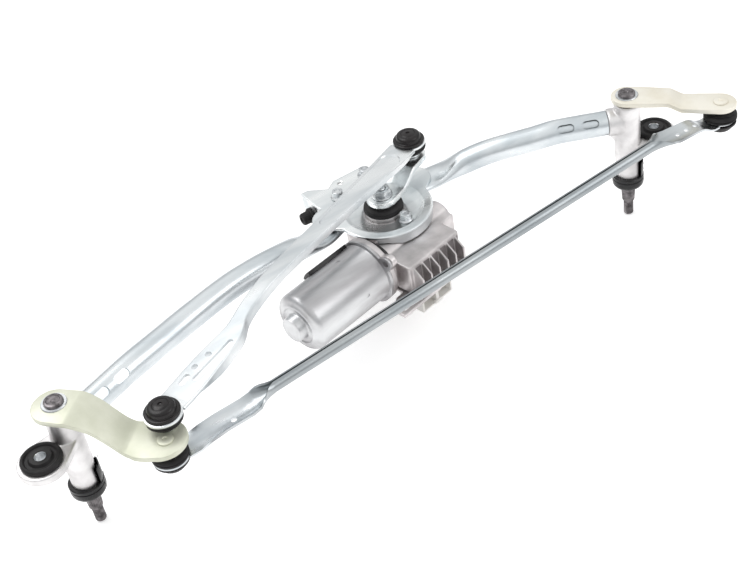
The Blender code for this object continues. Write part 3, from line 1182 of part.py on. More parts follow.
def make_bracket():
    """Pressed bracket plate: stepped dish round the output shaft, arms and a mount."""
    t = PLATE_T
    top = PLATE_TOP
    body = disc(DISH_R, top - t, top, 0, 0, 56)
    left = LEFT_END - HUB
    right = RIGHT_END - HUB
    for end in (left, right):
        reach = sqrt(end.x * end.x + end.y * end.y)
        arm = prism(capsule(0.0, reach, 0.0260, ARM_TIP_R, 14), top - t, top)
        join(body, move(arm, Matrix.Rotation(atan2(end.y, end.x), 4, "Z")))
    for k in (1, 2):
        x, y = LUGS[k]
        lobe = prism(capsule(0.0, sqrt(x * x + y * y), 0.0260, 0.0105, 14), top - t, top)
        join(body, move(lobe, Matrix.Rotation(atan2(y, x), 4, "Z")))
    wing = prism([(MOUNT_X - HUB.x, MOUNT_Y + 0.0130 - HUB.y), (MOUNT_X - HUB.x, MOUNT_Y - 0.0130 - HUB.y),
                  (-0.0300, 0.0100), (-0.0050, 0.0420)], top - t, top, "wing")
    join(body, wing)
    web = prism([(0.0, 0.0), (0.0340, 0.0240), (0.0250, 0.0500), (0.0180, 0.0590), (-0.0100, 0.0590),
                 (-0.0260, 0.0480), (-0.0300, 0.0300)], top - t, top, "web")
    join(body, web)
    cut(body, disc(0.0022, 0.0, 0.2, -0.0075, 0.0520, 14))
    cheek = prism([(-0.0121, 0.0), (0.0121, 0.0), (0.0121, -0.0120), (0.0060, -0.0240), (-0.0060, -0.0240),
                   (-0.0121, -0.0120)], -t, 0.0, "cheek")
    stand = Matrix(((0, 0, -1, MOUNT_X - HUB.x + 0.0004), (1, 0, 0, MOUNT_Y - HUB.y),
                    (0, 1, 0, top - 0.0002), (0, 0, 0, 1)))
    join(body, move(cheek, stand))
    across = Matrix.Rotation(pi / 2, 4, "Y")
    pierce = move(disc(0.0040 + GAP, -0.02, 0.02, 0, 0, 24),
                  Matrix.Translation((MOUNT_X - HUB.x, MOUNT_Y - HUB.y, MOUNT_Z)) @ across)
    cut(body, pierce)
    step = turned([(0.0, top - t - DISH_DEPTH), (DISH_STEP_R - 0.0010, top - t - DISH_DEPTH),
                   (DISH_STEP_R + 0.0016, top - t + 0.0005), (0.0, top - t + 0.0005)], 48)
    recess = turned([(0.0, top - DISH_DEPTH), (DISH_STEP_R - 0.0026, top - DISH_DEPTH),
                     (DISH_STEP_R, top + 0.0001), (DISH_STEP_R, top + 0.01), (0.0, top + 0.01)], 48)
    x, y = LUGS[0]
    seat_r = SCREW_HEAD_R + SCREW_POCKET
    join(step, disc(seat_r + 0.0018, top - t - DISH_DEPTH, top - t + 0.0003, x, y, 36))
    join(recess, disc(seat_r, top - DISH_DEPTH, top + 0.01, x, y, 36))
    join(body, step)
    cut(body, recess)
    notch = box(-0.075, -0.0395, -0.065, -0.0035, 0.06, 0.09)
    cut(body, move(notch, Matrix.Rotation(MOTOR_TURN, 4, "Z")))
    lip = DISH_R - 0.0003
    rim = turned([(lip - t, top - 0.0098), (lip, top - 0.0098), (lip, top - 0.0010),
                  (lip - t, top - 0.0010)], 56)
    sector = prism([(0.0, 0.0), (-0.035, -0.038), (-0.010, -0.080), (0.080, -0.080), (0.080, -0.012)], 0.0, 0.2)
    combine(rim, sector, "INTERSECT")
    cut(rim, move(flange_relief(), Matrix.Rotation(MOTOR_TURN, 4, "Z")))
    join(body, rim)
    cut(body, disc(BOSS_R + GAP, 0.0, 0.2, 0, 0, 40))
    for k in range(3):
        x, y = LUGS[k]
        cut(body, disc(0.0030 + GAP, 0.0, 0.2, x, y, 20))
    return finish(shift(body, HUB.x, HUB.y), "motor_bracket", ZINC)


def make_mount_plug():
    """Rubber locating plug pressed through the bracket's cheek."""
    t = PLATE_T + 2 * GAP
    ob = turned([(0.0, -0.0035), (0.0052, -0.0035), (0.0058, -0.0028), (0.0058, 0.0), (0.0040, 0.0),
                 (0.0040, t), (PLUG_R, t), (PLUG_R, t + 0.0085), (PLUG_R - 0.0012, t + 0.0100),
                 (0.0030, t + 0.0100), (0.0026, t + 0.0090), (0.0, t + 0.0090)], 32)
    spot = Matrix.Translation((MOUNT_X + 0.0004 + PLATE_T + GAP, MOUNT_Y, MOUNT_Z))
    lay = spot @ Matrix.Rotation(-pi / 2, 4, "Y")
    return finish(move(ob, lay), "mount_plug", RUBBER)


def centre_on_base():
    """Shifts every piece so that the origin is the middle of the base."""
    bpy.context.view_layer.update()
    low = Vector((1e9, 1e9, 1e9))
    high = Vector((-1e9, -1e9, -1e9))
    for ob in bpy.data.objects:
        for v in ob.data.vertices:
            at = ob.matrix_world @ v.co
            for k in range(3):
                low[k] = min(low[k], at[k])
                high[k] = max(high[k], at[k])
    move_by = Vector((-(low.x + high.x) / 2, -(low.y + high.y) / 2, -low.z))
    for ob in bpy.data.objects:
        ob.location = ob.location + move_by
    bpy.context.view_layer.update()


def build():
    clear_scene()
    ear_left = (-0.0232, -0.0117)
    ear_right = (0.0260, -0.0030)
    ear_left_z = 0.0850
    ear_right_z = 0.0690
    for side, at, ear, ear_z, direction, horn in (
            ("left", LEFT, ear_left, ear_left_z, LEFT_DIR, radians(-20)),
            ("right", RIGHT, ear_right, ear_right_z, RIGHT_DIR, radians(-40))):
        make_shaft(side + "_shaft", at)
        make_washer(side + "_thrust_washer", at, ARM_TOP - ARM_T - GAP, 0.0012, 0.0090, STEEL)
        make_clip(side + "_retaining_clip", at)
        make_bush(side + "_lower_bush", at, HOUSING_LOW_Z + 0.0012)
        make_bush(side + "_upper_bush", at, HOUSING_TOP_Z - BUSH_LEN - 0.0002)
        make_housing(side + "_pivot_housing", at, direction, ear, ear_z, 0.0)
        make_grommet(side + "_grommet", at, ear, ear_z)
        make_sleeve(side + "_grommet_sleeve", at, ear, ear_z)
        make_collar(side + "_end_collar", at, horn)
    make_left_arm()
    make_right_arm()
    low_left = LEFT_FLAT - ARM_T - GAP
    low_right = RIGHT_FLAT - ARM_T - GAP
    make_stud("left_drive_stud", DRIVE_LEFT, LEFT_FLAT + GAP, False, LEFT, ARM_T + 2 * GAP)
    make_stud("left_link_stud", LINK_LEFT, low_left, True, LEFT, ARM_T + 2 * GAP)
    make_stud("right_link_stud", LINK_RIGHT, low_right, True, RIGHT, ARM_T + 2 * GAP)
    make_stud("crank_ball_stud", PIN, CRANK_PIN_TOP + GAP, False, DRIVE_LEFT, 0.0)
    make_drive_rod()
    make_cup("drive_rod_lever_cup", DRIVE_LEFT, DRIVE_BALL_Z, False, DRIVE_LEFT)
    make_boot("drive_rod_lever_boot", DRIVE_LEFT, DRIVE_BALL_Z, False, DRIVE_LEFT)
    make_cup("drive_rod_crank_cup", PIN, PIN_BALL_Z, False, DRIVE_LEFT)
    make_boot("drive_rod_crank_boot", PIN, PIN_BALL_Z, False, DRIVE_LEFT)
    make_coupling_rod()
    make_cup("coupling_rod_left_cup", LINK_LEFT, LINK_BALL_LEFT, True, LINK_LEFT)
    make_boot("coupling_rod_left_boot", LINK_LEFT, LINK_BALL_LEFT, True, LINK_LEFT)
    make_cup("coupling_rod_right_cup", LINK_RIGHT, LINK_BALL_RIGHT, True, LINK_LEFT)
    make_boot("coupling_rod_right_boot", LINK_RIGHT, LINK_BALL_RIGHT, True, LINK_LEFT)
    make_crank_arm()
    make_crank_rivet()
    make_output_shaft()
    make_crank_nut()
    make_worm_wheel()
    make_motor_can()
    make_can_bearing()
    make_magnet("upper_magnet", 1)
    make_magnet("lower_magnet", -1)
    make_armature_shaft()
    make_armature_core()
    make_commutator()
    make_brush_card()
    make_gear_housing()
    make_gear_cover()
    make_connector()
    make_output_bush()
    make_output_seal()
    for k in range(3):
        make_bracket_screw("bracket_screw_%d" % (k + 1), k)
    make_cable_strip()
    make_tube("left_frame_tube", LEFT, LEFT_DIR,
              [Vector(p) for p in ROUTE_LEFT], LEFT_END)
    make_tube("right_frame_tube", RIGHT, RIGHT_DIR,
              [Vector(p) for p in ROUTE_RIGHT], RIGHT_END)
    make_bracket()
    make_mount_plug()
    centre_on_base()


build()
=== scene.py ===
"""Finish of a windscreen wiper linkage: pressed, cast, turned and moulded parts on a white studio floor."""
import json
from math import acos, asin, atan2, cos, pi, radians, sin, sqrt

import bmesh
import bpy
import numpy as np
from bpy.props import FloatProperty, FloatVectorProperty, IntProperty, PointerProperty
from mathutils import Matrix, Vector


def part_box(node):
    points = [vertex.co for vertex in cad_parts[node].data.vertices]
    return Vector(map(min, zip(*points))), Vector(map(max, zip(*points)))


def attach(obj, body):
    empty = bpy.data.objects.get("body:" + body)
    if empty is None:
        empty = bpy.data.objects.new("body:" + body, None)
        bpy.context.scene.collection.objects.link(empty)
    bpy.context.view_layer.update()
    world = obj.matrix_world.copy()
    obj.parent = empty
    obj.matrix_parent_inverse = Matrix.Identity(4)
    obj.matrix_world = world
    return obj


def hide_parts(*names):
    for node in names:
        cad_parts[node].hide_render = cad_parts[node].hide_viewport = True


bl_info = {
    "name": "Wiper linkage finish",
    "version": (1, 0, 0),
    "blender": (4, 5, 0),
    "location": "View3D > Sidebar > Wiper linkage",
    "description": "Builds the visible pieces of a wiper linkage over its packed frame",
    "category": "Object",
}

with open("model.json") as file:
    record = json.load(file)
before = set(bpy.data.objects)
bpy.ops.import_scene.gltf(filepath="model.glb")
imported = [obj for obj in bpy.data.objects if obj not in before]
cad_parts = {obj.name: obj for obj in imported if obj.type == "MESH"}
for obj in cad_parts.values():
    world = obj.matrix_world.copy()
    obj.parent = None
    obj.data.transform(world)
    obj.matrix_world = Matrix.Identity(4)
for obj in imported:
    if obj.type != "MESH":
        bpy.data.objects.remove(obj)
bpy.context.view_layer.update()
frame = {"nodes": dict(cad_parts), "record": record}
JOINT_AT = {joint["name"]: joint["pos_m"] for joint in frame["record"]["behaviour"]["joints"]}


def pivot(joint):
    """A joint's place, brought down to the floor."""
    return Vector((*JOINT_AT[joint][:2], 0.0))


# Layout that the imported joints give
LEFT = pivot("left_lever_swing")
RIGHT = pivot("right_lever_swing")
HUB = pivot("crank_turn")
DRIVE_LEFT = pivot("drive_rod_turn")
LINK_LEFT = pivot("coupling_rod_turn")
LINK_RIGHT = LINK_LEFT + RIGHT - LEFT
LEVER_ANGLE = atan2((LINK_LEFT - LEFT).y, (LINK_LEFT - LEFT).x)
LEVER_RADIUS = (LINK_LEFT - LEFT).length
ROD_DIR = (HUB - DRIVE_LEFT).normalized()
ROD_ANGLE = atan2(ROD_DIR.y, ROD_DIR.x)
RIVET_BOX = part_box("crank_pin_shank")
PIN = Vector(((RIVET_BOX[0][0] + RIVET_BOX[1][0]) / 2, (RIVET_BOX[0][1] + RIVET_BOX[1][1]) / 2, 0.0))
CRANK_RADIUS = (PIN - HUB).length
ROD_LEN = (PIN - DRIVE_LEFT).length
MOTOR_TURN = radians(12.0)
WORM_OFFSET = 0.025
AXIS_Z = 0.056

# Heights and fits, in metres
GAP = 0.0003
SHAFT_R = 0.006
SHAFT_TOP = 0.120
HEAD_R = 0.00675
ARM_TOP = 0.117
ARM_T = 0.004
LEFT_DROP = 0.027
RIGHT_DROP = 0.005
LEFT_FLAT = ARM_TOP - LEFT_DROP
RIGHT_FLAT = ARM_TOP - RIGHT_DROP
HOUSING_R = 0.010
HOUSING_LOW = 0.0375
HOUSING_TOP = 0.1105
SOCKET_Z = 0.094
SOCKET_REACH = 0.017
SPIGOT_LEN = 0.046
TUBE_R = 0.010
TUBE_WALL = 0.0015
BALL_R = 0.0062
STUD_REACH = 0.0112
EYE_T = 0.0022
EYE_R = 0.0137
CRANK_TOP = 0.0965
CRANK_HUB_TOP = 0.088
PLATE_TOP = 0.076
PLATE_T = 0.0025
BOSS_TOP = 0.075
BOSS_R = 0.0150
SHANK_R = 0.0040
CUP_R = 0.0087
DISH_R = 0.039
DISH_DEEP = 0.0032
GROMMET_NECK = 0.0108
SENSOR_MM = 36.0
DRIVE_RISE = 0.008
DRIVE_BALL_Z = LEFT_FLAT + GAP + STUD_REACH
PIN_BALL_Z = CRANK_TOP + GAP + STUD_REACH
LINK_BALL_LEFT = LEFT_FLAT - ARM_T - GAP - STUD_REACH
LINK_BALL_RIGHT = RIGHT_FLAT - ARM_T - GAP - STUD_REACH

# Sides of the two pivots: ear place, ear height, tube direction, collar horn
EARS = {"left": (-0.0232, -0.0117, 0.0850), "right": (0.0260, -0.0030, 0.0690)}
TUBE_DIR = {"left": Vector((0.940, 0.342, 0.0)).normalized(), "right": Vector((-0.880, 0.475, 0.0)).normalized()}
HORN = {"left": radians(-20), "right": radians(-40)}
SHAFT_AT = {"left": LEFT, "right": RIGHT}


def linear(code):
    """An sRGB hex colour as linear light."""
    rgb = [int(code[k:k + 2], 16) / 255.0 for k in (0, 2, 4)]
    return [c / 12.92 if c <= 0.04045 else ((c + 0.055) / 1.055) ** 2.4 for c in rgb] + [1.0]


# Materials

def add(tree, kind, links=(), stops=(), **settings):
    """Adds one shader node: links are (input, source), stops a ramp's (position, colour), the rest its settings."""
    node = tree.nodes.new(kind)
    for index, (at, colour) in enumerate(stops):
        mark = node.color_ramp.elements[index] if index < 2 else node.color_ramp.elements.new(at)
        mark.position = at
        mark.color = colour
    for key, value in settings.items():
        if hasattr(node, key):
            setattr(node, key, value)
        else:
            node.inputs[key.replace("_", " ")].default_value = value
    for name, source in links:
        tree.links.new(node.inputs[name], source)
    return node


def new_material(name, colour, metallic, roughness):
    """A named Principled surface with its constant values on its own sockets."""
    mat = bpy.data.materials.new(name)
    mat.use_nodes = True
    tree = mat.node_tree
    shader = tree.nodes["Principled BSDF"]
    shader.inputs["Base Color"].default_value = linear(colour)
    shader.inputs["Metallic"].default_value = metallic
    shader.inputs["Roughness"].default_value = roughness
    place = add(tree, "ShaderNodeTexCoord").outputs["Object"]
    return mat, tree, shader, place


def mottle(tree, place, shader, dark, light, scale, low, high, detail=4.0, stretch=(1, 1, 1), turn=0.0):
    """Cloudy change of colour and roughness across a surface."""
    laid = add(tree, "ShaderNodeMapping", [("Vector", place)], Scale=stretch, Rotation=(0.0, 0.0, turn)).outputs[0]
    cloud = add(tree, "ShaderNodeTexNoise", [("Vector", laid)], Scale=scale, Detail=detail).outputs["Fac"]
    tones = add(tree, "ShaderNodeValToRGB", [("Fac", cloud)], ((0.35, linear(dark)), (0.65, linear(light))))
    tree.links.new(shader.inputs["Base Color"], tones.outputs["Color"])
    rough = add(tree, "ShaderNodeMapRange", [("Value", cloud)], From_Min=0.3, From_Max=0.7, To_Min=high, To_Max=low)
    tree.links.new(shader.inputs["Roughness"], rough.outputs["Result"])
    return laid


def grain(tree, source, shader, scale, strength, distance, detail=3.0, stretch=None):
    """Fine height on a surface, such as casting skin or drawing lines."""
    if stretch:
        source = add(tree, "ShaderNodeMapping", [("Vector", source)], Scale=stretch).outputs[0]
    noise = add(tree, "ShaderNodeTexNoise", [("Vector", source)], Scale=scale, Detail=detail)
    bump = add(tree, "ShaderNodeBump", [("Height", noise.outputs["Fac"])], Strength=strength, Distance=distance)
    tree.links.new(shader.inputs["Normal"], bump.outputs["Normal"])


def surface(name, colour, metallic, roughness, clouds, skin=None, along=False, ior=None):
    """A material with clouds of colour and gloss and a fine skin, which may follow the clouds' own axes."""
    mat, tree, shader, place = new_material(name, colour, metallic, roughness)
    laid = mottle(tree, place, shader, *clouds)
    if skin:
        grain(tree, laid if along else place, shader, *skin)
    if ior:
        shader.inputs["IOR"].default_value = ior
    return mat


def zinc_plated_steel(name, code, turn, dark="CDD2D5"):
    """Rolled steel strip with bright zinc: bluish, cloudy, with faint rolling lines 1 mm apart along the part."""
    return surface(name, code, 1.0, 0.3, (dark, code, 38.0, 0.24, 0.40, 6.0, (0.35, 1.6, 1.6), turn),
                   (600.0, 0.12, 0.00008, 2.0, (0.04, 1.0, 1.0)), along=True)


def strip_steel_with_painted_shade(name):
    """Zinc plated strip, bright at its flat ends, with painted shade that greys the rolled middle."""
    mat = zinc_plated_steel(name, "DDE0E2", 0.0, "BBC1C5")
    tree = mat.node_tree
    colour = tree.nodes["Principled BSDF"].inputs["Base Color"]
    place = add(tree, "ShaderNodeTexCoord").outputs["Object"]
    split = add(tree, "ShaderNodeSeparateXYZ", [("Vector", place)])
    along = add(tree, "ShaderNodeMapRange", [("Value", split.outputs["X"])], From_Min=LINK_LEFT.x,
                From_Max=LINK_LEFT.x + (RIGHT - LEFT).length)
    # Painted shade: a grey ramp along the rod multiplies the colour of the rolled middle, and the flat ends stay
    # white.
    white, grey = (1.0, 1.0, 1.0, 1.0), (0.62, 0.63, 0.63, 1.0)
    shade = add(tree, "ShaderNodeValToRGB", [("Fac", along.outputs["Result"])],
                ((0.11, white), (0.93, white), (0.155, grey), (0.87, grey)))
    mix = add(tree, "ShaderNodeMix", data_type="RGBA", blend_type="MULTIPLY")
    mix.inputs["Factor"].default_value = 1.0
    tree.links.new(colour.links[0].from_socket, mix.inputs[6])
    tree.links.new(shade.outputs["Color"], mix.inputs[7])
    tree.links.new(mix.outputs[2], colour)
    return mat


def passivated_steel(name, dark, light):
    """Yellow passivated zinc on a blanked lever: waxy, with soft darker clouds."""
    return surface(name, light, 0.35, 0.44, (dark, light, 45.0, 0.36, 0.52, 5.0), (900.0, 0.10, 0.00006))


def die_cast_aluminium(name, dark, light, scale):
    """Raw die-casting: pale, slightly warm, with a fine sandy skin about 0.6 mm across."""
    return surface(name, light, 1.0, 0.45, (dark, light, scale, 0.36, 0.56, 7.0), (1500.0, 0.22, 0.00010, 4.0))


def phosphated_steel(name):
    """Manganese phosphated shaft steel: dark grey crystals under oil."""
    return surface(name, "757173", 0.9, 0.36, ("555253", "8B8688", 260.0, 0.28, 0.44, 5.0),
                   (2200.0, 0.25, 0.00006))


def drawn_can_steel(name, turn):
    """Deep-drawn galvanised steel: draw lines run along the can, about 1.2 mm apart."""
    return surface(name, "C2C5C8", 1.0, 0.38, ("A3A1A3", "DEDFE0", 34.0, 0.32, 0.46, 6.0, (0.16, 1.0, 1.0), turn),
                   (380.0, 0.16, 0.00008, 3.0, (0.2, 1.0, 1.0)), along=True)


def bright_steel(name):
    """Turned or stamped bright steel with a light polish."""
    return surface(name, "D6D8DA", 1.0, 0.28, ("BFC2C5", "E0E2E3", 180.0, 0.22, 0.38, 4.0))


def moulded_nylon(name, light):
    """Black glass-filled nylon: semi-gloss with a fine moulded skin."""
    return surface(name, light, 0.0, 0.32, ("0D0B0C", light, 140.0, 0.22, 0.34, 4.0), (1800.0, 0.08, 0.00004),
                   ior=1.42)


def black_rubber(name):
    """Moulded rubber: matt, a little dusty, with a soft skin."""
    return surface(name, "181617", 0.0, 0.6, ("100F10", "1F1D1E", 90.0, 0.48, 0.68, 5.0), (1300.0, 0.18, 0.00008),
                   ior=1.42)


def plain_inside(name, dark, light, metallic, rough):
    """Inner parts that only a gap or an opened case would show."""
    return surface(name, light, metallic, rough, (dark, light, 150.0, rough - 0.06, rough + 0.08, 4.0))


def make_materials():
    """Every finish of the linkage, by a short key."""
    return {
        # The coupling rod's strip carries painted shade along its rolled middle.
        "zinc": strip_steel_with_painted_shade("zinc plated strip with painted shade"),
        "zinc_rod": zinc_plated_steel("bright zinc plated rod", "E9EBEC", -ROD_ANGLE, "CACFD2"),
        "zinc_tube": zinc_plated_steel("bright zinc plated tube", "E4E8EA", 0.0, "C6CDD1"),
        "zinc_plate": zinc_plated_steel("bright zinc plated bracket", "F0F2F2", 0.6, "D4D9DB"),
        "yellow": passivated_steel("yellow passivated lever", "D5D7C3", "E6E7D6"),
        "cream": passivated_steel("pale passivated lever", "E9E3D2", "F4F0E4"),
        "cast": die_cast_aluminium("raw die-cast pivot housing", "D0CECE", "ECEAEA", 60.0),
        "case": die_cast_aluminium("raw die-cast gear case", "B2AEAE", "D8D3D3", 45.0),
        # Darker copy of the gear case casting, used as painted shade in the fin pockets.
        "case_painted_shade": die_cast_aluminium("painted pocket shade casting", "7E7A7B", "989394", 60.0),
        "dark_steel": phosphated_steel("phosphated shaft steel"),
        "can": drawn_can_steel("drawn galvanised can", -MOTOR_TURN),
        "steel": bright_steel("bright turned steel"),
        "nylon": moulded_nylon("black glass-filled nylon", "18181A"),
        "cap": moulded_nylon("black gloss acetal cap", "1A1415"),
        "rubber": black_rubber("black moulded rubber"),
        "bronze": plain_inside("oil-filled sintered bronze", "8A6437", "AD8550", 1.0, 0.42),
        "ferrite": plain_inside("sintered ferrite", "2E2F31", "434447", 0.0, 0.6),
        "copper": plain_inside("turned copper", "A86538", "C27E4D", 1.0, 0.32),
        "core": plain_inside("varnished core laminations", "5D5F61", "7D7F82", 0.8, 0.48),
        "acetal": plain_inside("natural moulded acetal", "ECE9E4", "F5F3F0", 0.0, 0.42),
    }


FINISH = {}


def finish_of(key):
    """A finish by its key; all are made at the first call."""
    if not FINISH:
        FINISH.update(make_materials())
    return FINISH[key]


# Shaping

def to_piece(bm, name="piece", loose=True):
    """Turns a bmesh into an object; doubles go and faces point outwards."""
    if loose:
        bmesh.ops.remove_doubles(bm, verts=bm.verts[:], dist=1e-6)
    bmesh.ops.recalc_face_normals(bm, faces=bm.faces[:])
    if bm.calc_volume(signed=True) < 0.0:
        bmesh.ops.reverse_faces(bm, faces=bm.faces[:])
    mesh = bpy.data.meshes.new(name)
    bm.to_mesh(mesh)
    bm.free()
    ob = bpy.data.objects.new(name, mesh)
    bpy.context.scene.collection.objects.link(ob)
    return ob


def lay(ob, matrix):
    """Moves a piece's mesh, so that its object stays at the origin."""
    ob.data.transform(matrix)
    return ob


def spin(angle, axis="Z"):
    return Matrix.Rotation(angle, 4, axis)


def shift(x=0.0, y=0.0, z=0.0):
    return Matrix.Translation((x, y, z))


def put(ob, x=0.0, y=0.0, z=0.0):
    return lay(ob, shift(x, y, z))


def arc(radius, start, end, steps):
    """Points on a circle round the origin, from one angle to another."""
    turns = [start + (end - start) * k / steps for k in range(steps + 1)]
    return [(radius * cos(a), radius * sin(a)) for a in turns]


def hexagon(radius, turn):
    """Corners of a nut or a screw head."""
    return arc(radius, turn, turn + 2 * pi, 6)[:6]


def mm(z, *points, r=0.0):
    """Pairs of millimetres, counted from the radius r and the level z, as (radius, z) in metres."""
    return [(r + x / 1000, z + h / 1000) for x, h in points]


def turned(profile, steps=96):
    """A closed (radius, z) outline spun about Z."""
    bm = bmesh.new()
    points = [bm.verts.new((r, 0.0, z)) for r, z in profile]
    for a, b in zip(points, points[1:] + points[:1]):
        if a.co.x > 1e-6 or b.co.x > 1e-6:
            bm.edges.new((a, b))
    bmesh.ops.spin(bm, geom=bm.verts[:] + bm.edges[:], axis=(0, 0, 1), cent=(0, 0, 0),
                   angle=2 * pi, steps=steps, use_merge=True)
    return to_piece(bm)


def blank(outline, z0, z1, edge=0.0, segments=2):
    """A flat outline extruded from z0 to z1, with both rims rounded by edge."""
    bm = bmesh.new()
    low = [bm.verts.new((x, y, z0)) for x, y in outline]
    bmesh.ops.contextual_create(bm, geom=low)
    made = bmesh.ops.extrude_face_region(bm, geom=bm.faces[:])
    top = [v for v in made["geom"] if isinstance(v, bmesh.types.BMVert)]
    bmesh.ops.translate(bm, vec=(0.0, 0.0, z1 - z0), verts=top)
    if edge > 0.0:
        rims = [e for e in bm.edges if abs(e.verts[0].co.z - e.verts[1].co.z) < 1e-7]
        bmesh.ops.bevel(bm, geom=rims, offset=edge, segments=segments, affect="EDGES", profile=0.5, material=-1)
    return to_piece(bm)


def block(x0, x1, y0, y1, z0, z1, edge=0.0):
    """A block between two corners, with its edges rounded."""
    bm = bmesh.new()
    size = Matrix.Diagonal((x1 - x0, y1 - y0, z1 - z0, 1.0))
    centre = Matrix.Translation(((x0 + x1) / 2, (y0 + y1) / 2, (z0 + z1) / 2))
    bmesh.ops.create_cube(bm, size=1.0, matrix=centre @ size)
    if edge > 0.0:
        bmesh.ops.bevel(bm, geom=bm.edges[:], offset=edge, segments=2, affect="EDGES", profile=0.5, material=-1)
    return to_piece(bm)


def rod(radius, z0, z1, x=0.0, y=0.0, steps=64, edge=0.0):
    """A solid round bar on Z with rounded rims."""
    if edge > 0.0:
        e = edge
        outline = [(0.0, z0), (radius - e, z0), (radius - 0.3 * e, z0 + 0.3 * e), (radius, z0 + e),
                   (radius, z1 - e), (radius - 0.3 * e, z1 - 0.3 * e), (radius - e, z1), (0.0, z1)]
    else:
        outline = [(0.0, z0), (radius, z0), (radius, z1), (0.0, z1)]
    return put(turned(outline, steps), x, y)


def combine(target, tool, kind):
    """One exact boolean; the tool is used up."""
    mod = target.modifiers.new("cut", "BOOLEAN")
    mod.operation = kind
    mod.solver = "EXACT"
    mod.object = tool
    bake(target)
    bpy.data.objects.remove(tool, do_unlink=True)
    return target


def bake(ob):
    """Makes an object's modifiers part of its mesh."""
    bpy.context.view_layer.update()
    graph = bpy.context.evaluated_depsgraph_get()
    done = bpy.data.meshes.new_from_object(ob.evaluated_get(graph))
    ob.modifiers.clear()
    old = ob.data
    ob.data = done
    bpy.data.meshes.remove(old)
    return ob


def cut(target, *tools):
    for tool in tools:
        combine(target, tool, "DIFFERENCE")
    return target


def join(target, *tools):
    for tool in tools:
        combine(target, tool, "UNION")
    return target


def gather(obs):
    """Puts several closed shells into the first object's mesh."""
    bm = bmesh.new()
    for ob in obs:
        bm.from_mesh(ob.data)
    bm.to_mesh(obs[0].data)
    bm.free()
    for ob in obs[1:]:
        bpy.data.objects.remove(ob, do_unlink=True)
    return obs[0]


def cast_skin(solids, voxel, passes, *cuts):
    """Grows one skin over overlapping solids, cuts it, and eases its corners as a casting's are."""
    ob = gather(solids)
    mod = ob.modifiers.new("skin", "REMESH")
    mod.mode = "VOXEL"
    mod.voxel_size = voxel
    bake(ob)
    for group in cuts:
        cut(ob, gather(group))
    ease = ob.modifiers.new("ease", "SMOOTH")
    ease.factor = 0.5
    ease.iterations = passes
    return bake(ob)


def aim(direction, at):
    """Matrix that lays local Z along direction from a point."""
    turn = Vector((0, 0, 1)).rotation_difference(Vector(direction)).to_matrix().to_4x4()
    return Matrix.Translation(at) @ turn


def two_circles(x0, x1, r0, r1, steps=24):
    """Outline round two circles on X."""
    start = pi / 2 - asin((r0 - r1) / (x1 - x0))
    tail = arc(r0, start, 2 * pi - start, steps)
    head = arc(r1, -start, start, steps)
    return [(x0 + x, y) for x, y in tail] + [(x1 + x, y) for x, y in head]


def oblong(length, radius, z0, z1):
    """Cutter for a slot along X."""
    half = length / 2 - radius
    return blank(two_circles(-half, half, radius, radius, 12), z0, z1)


def smooth_line(points, count):
    """Even points on a smooth curve through the given ones."""
    pts = [np.array(p, float) for p in points]
    pts = [2 * pts[0] - pts[1]] + pts + [2 * pts[-1] - pts[-2]]
    out = []
    for a, b, c, d in zip(pts, pts[1:], pts[2:], pts[3:]):
        for k in range(count):
            t = k / count
            out.append(0.5 * (2 * b + (c - a) * t + (2 * a - 5 * b + 4 * c - d) * t * t
                              + (3 * b - a - 3 * c + d) * t ** 3))
    return out + [pts[-2]]


def ribbon(stations, cap=16, count=6):
    """Outline of a blank from (x, centre y, half width) stations, with round ends."""
    line = smooth_line(stations, count)
    up = [(x, c + w) for x, c, w in line]
    low = [(x, c - w) for x, c, w in line]
    x0, c0, w0 = line[0]
    x1, c1, w1 = line[-1]
    head = [(x1 + w1 * sin(pi * k / cap), c1 + w1 * cos(pi * k / cap)) for k in range(1, cap)]
    tail = [(x0 - w0 * sin(pi * k / cap), c0 - w0 * cos(pi * k / cap)) for k in range(1, cap)]
    return up + head + low[::-1] + tail


def fold(ob, marks):
    """Presses a plate into a step: marks are (x, lift), straight between them."""
    bm = bmesh.new()
    bm.from_mesh(ob.data)
    for x, _ in marks:
        bmesh.ops.bisect_plane(bm, geom=bm.verts[:] + bm.edges[:] + bm.faces[:], dist=1e-6,
                               plane_co=(x, 0, 0), plane_no=(1, 0, 0))
    at, lifts = zip(*marks)
    for v in bm.verts:
        v.co.z += float(np.interp(v.co.x, at, lifts))
    bm.to_mesh(ob.data)
    bm.free()
    return ob


def joggle(x0, x1, drop, count=14):
    """Marks of an S-shaped step that falls by drop from x0 to x1."""
    marks = []
    for k in range(count + 1):
        t = k / count
        ease = t ** 3 * (10 - 15 * t + 6 * t * t)
        marks.append((x0 + (x1 - x0) * (0.5 * t + 0.5 * ease), -drop * ease))
    return marks


def skin_rings(rings, ends=True):
    """Bridges rings of points, each with as many points as the last."""
    bm = bmesh.new()
    loops = []
    for ring in rings:
        verts = [bm.verts.new(p) for p in ring]
        loops.append([bm.edges.new((a, b)) for a, b in zip(verts, verts[1:] + verts[:1])])
    for a, b in zip(loops, loops[1:]):
        bmesh.ops.bridge_loops(bm, edges=a + b)
    if ends:
        for loop in (loops[0], loops[-1]):
            bmesh.ops.contextual_create(bm, geom=loop)
    return to_piece(bm)


def dress(ob, name, key, body, *nodes, slot=None, angle=32.0):
    """Names a piece, shades it, gives it its finish and sets it on its body, in place of its nodes."""
    bm = bmesh.new()
    bm.from_mesh(ob.data)
    bmesh.ops.remove_doubles(bm, verts=bm.verts[:], dist=2e-6)
    bmesh.ops.dissolve_degenerate(bm, edges=bm.edges[:], dist=1e-7)
    for f in bm.faces:
        f.smooth = True
    bm.to_mesh(ob.data)
    bm.free()
    ob.data.set_sharp_from_angle(angle=radians(angle))
    ob.name = name
    ob.data.name = name
    ob.data.materials.clear()
    ob.data.materials.append(finish_of(key))
    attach(ob, body)
    if nodes:
        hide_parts(*nodes)
    return ob


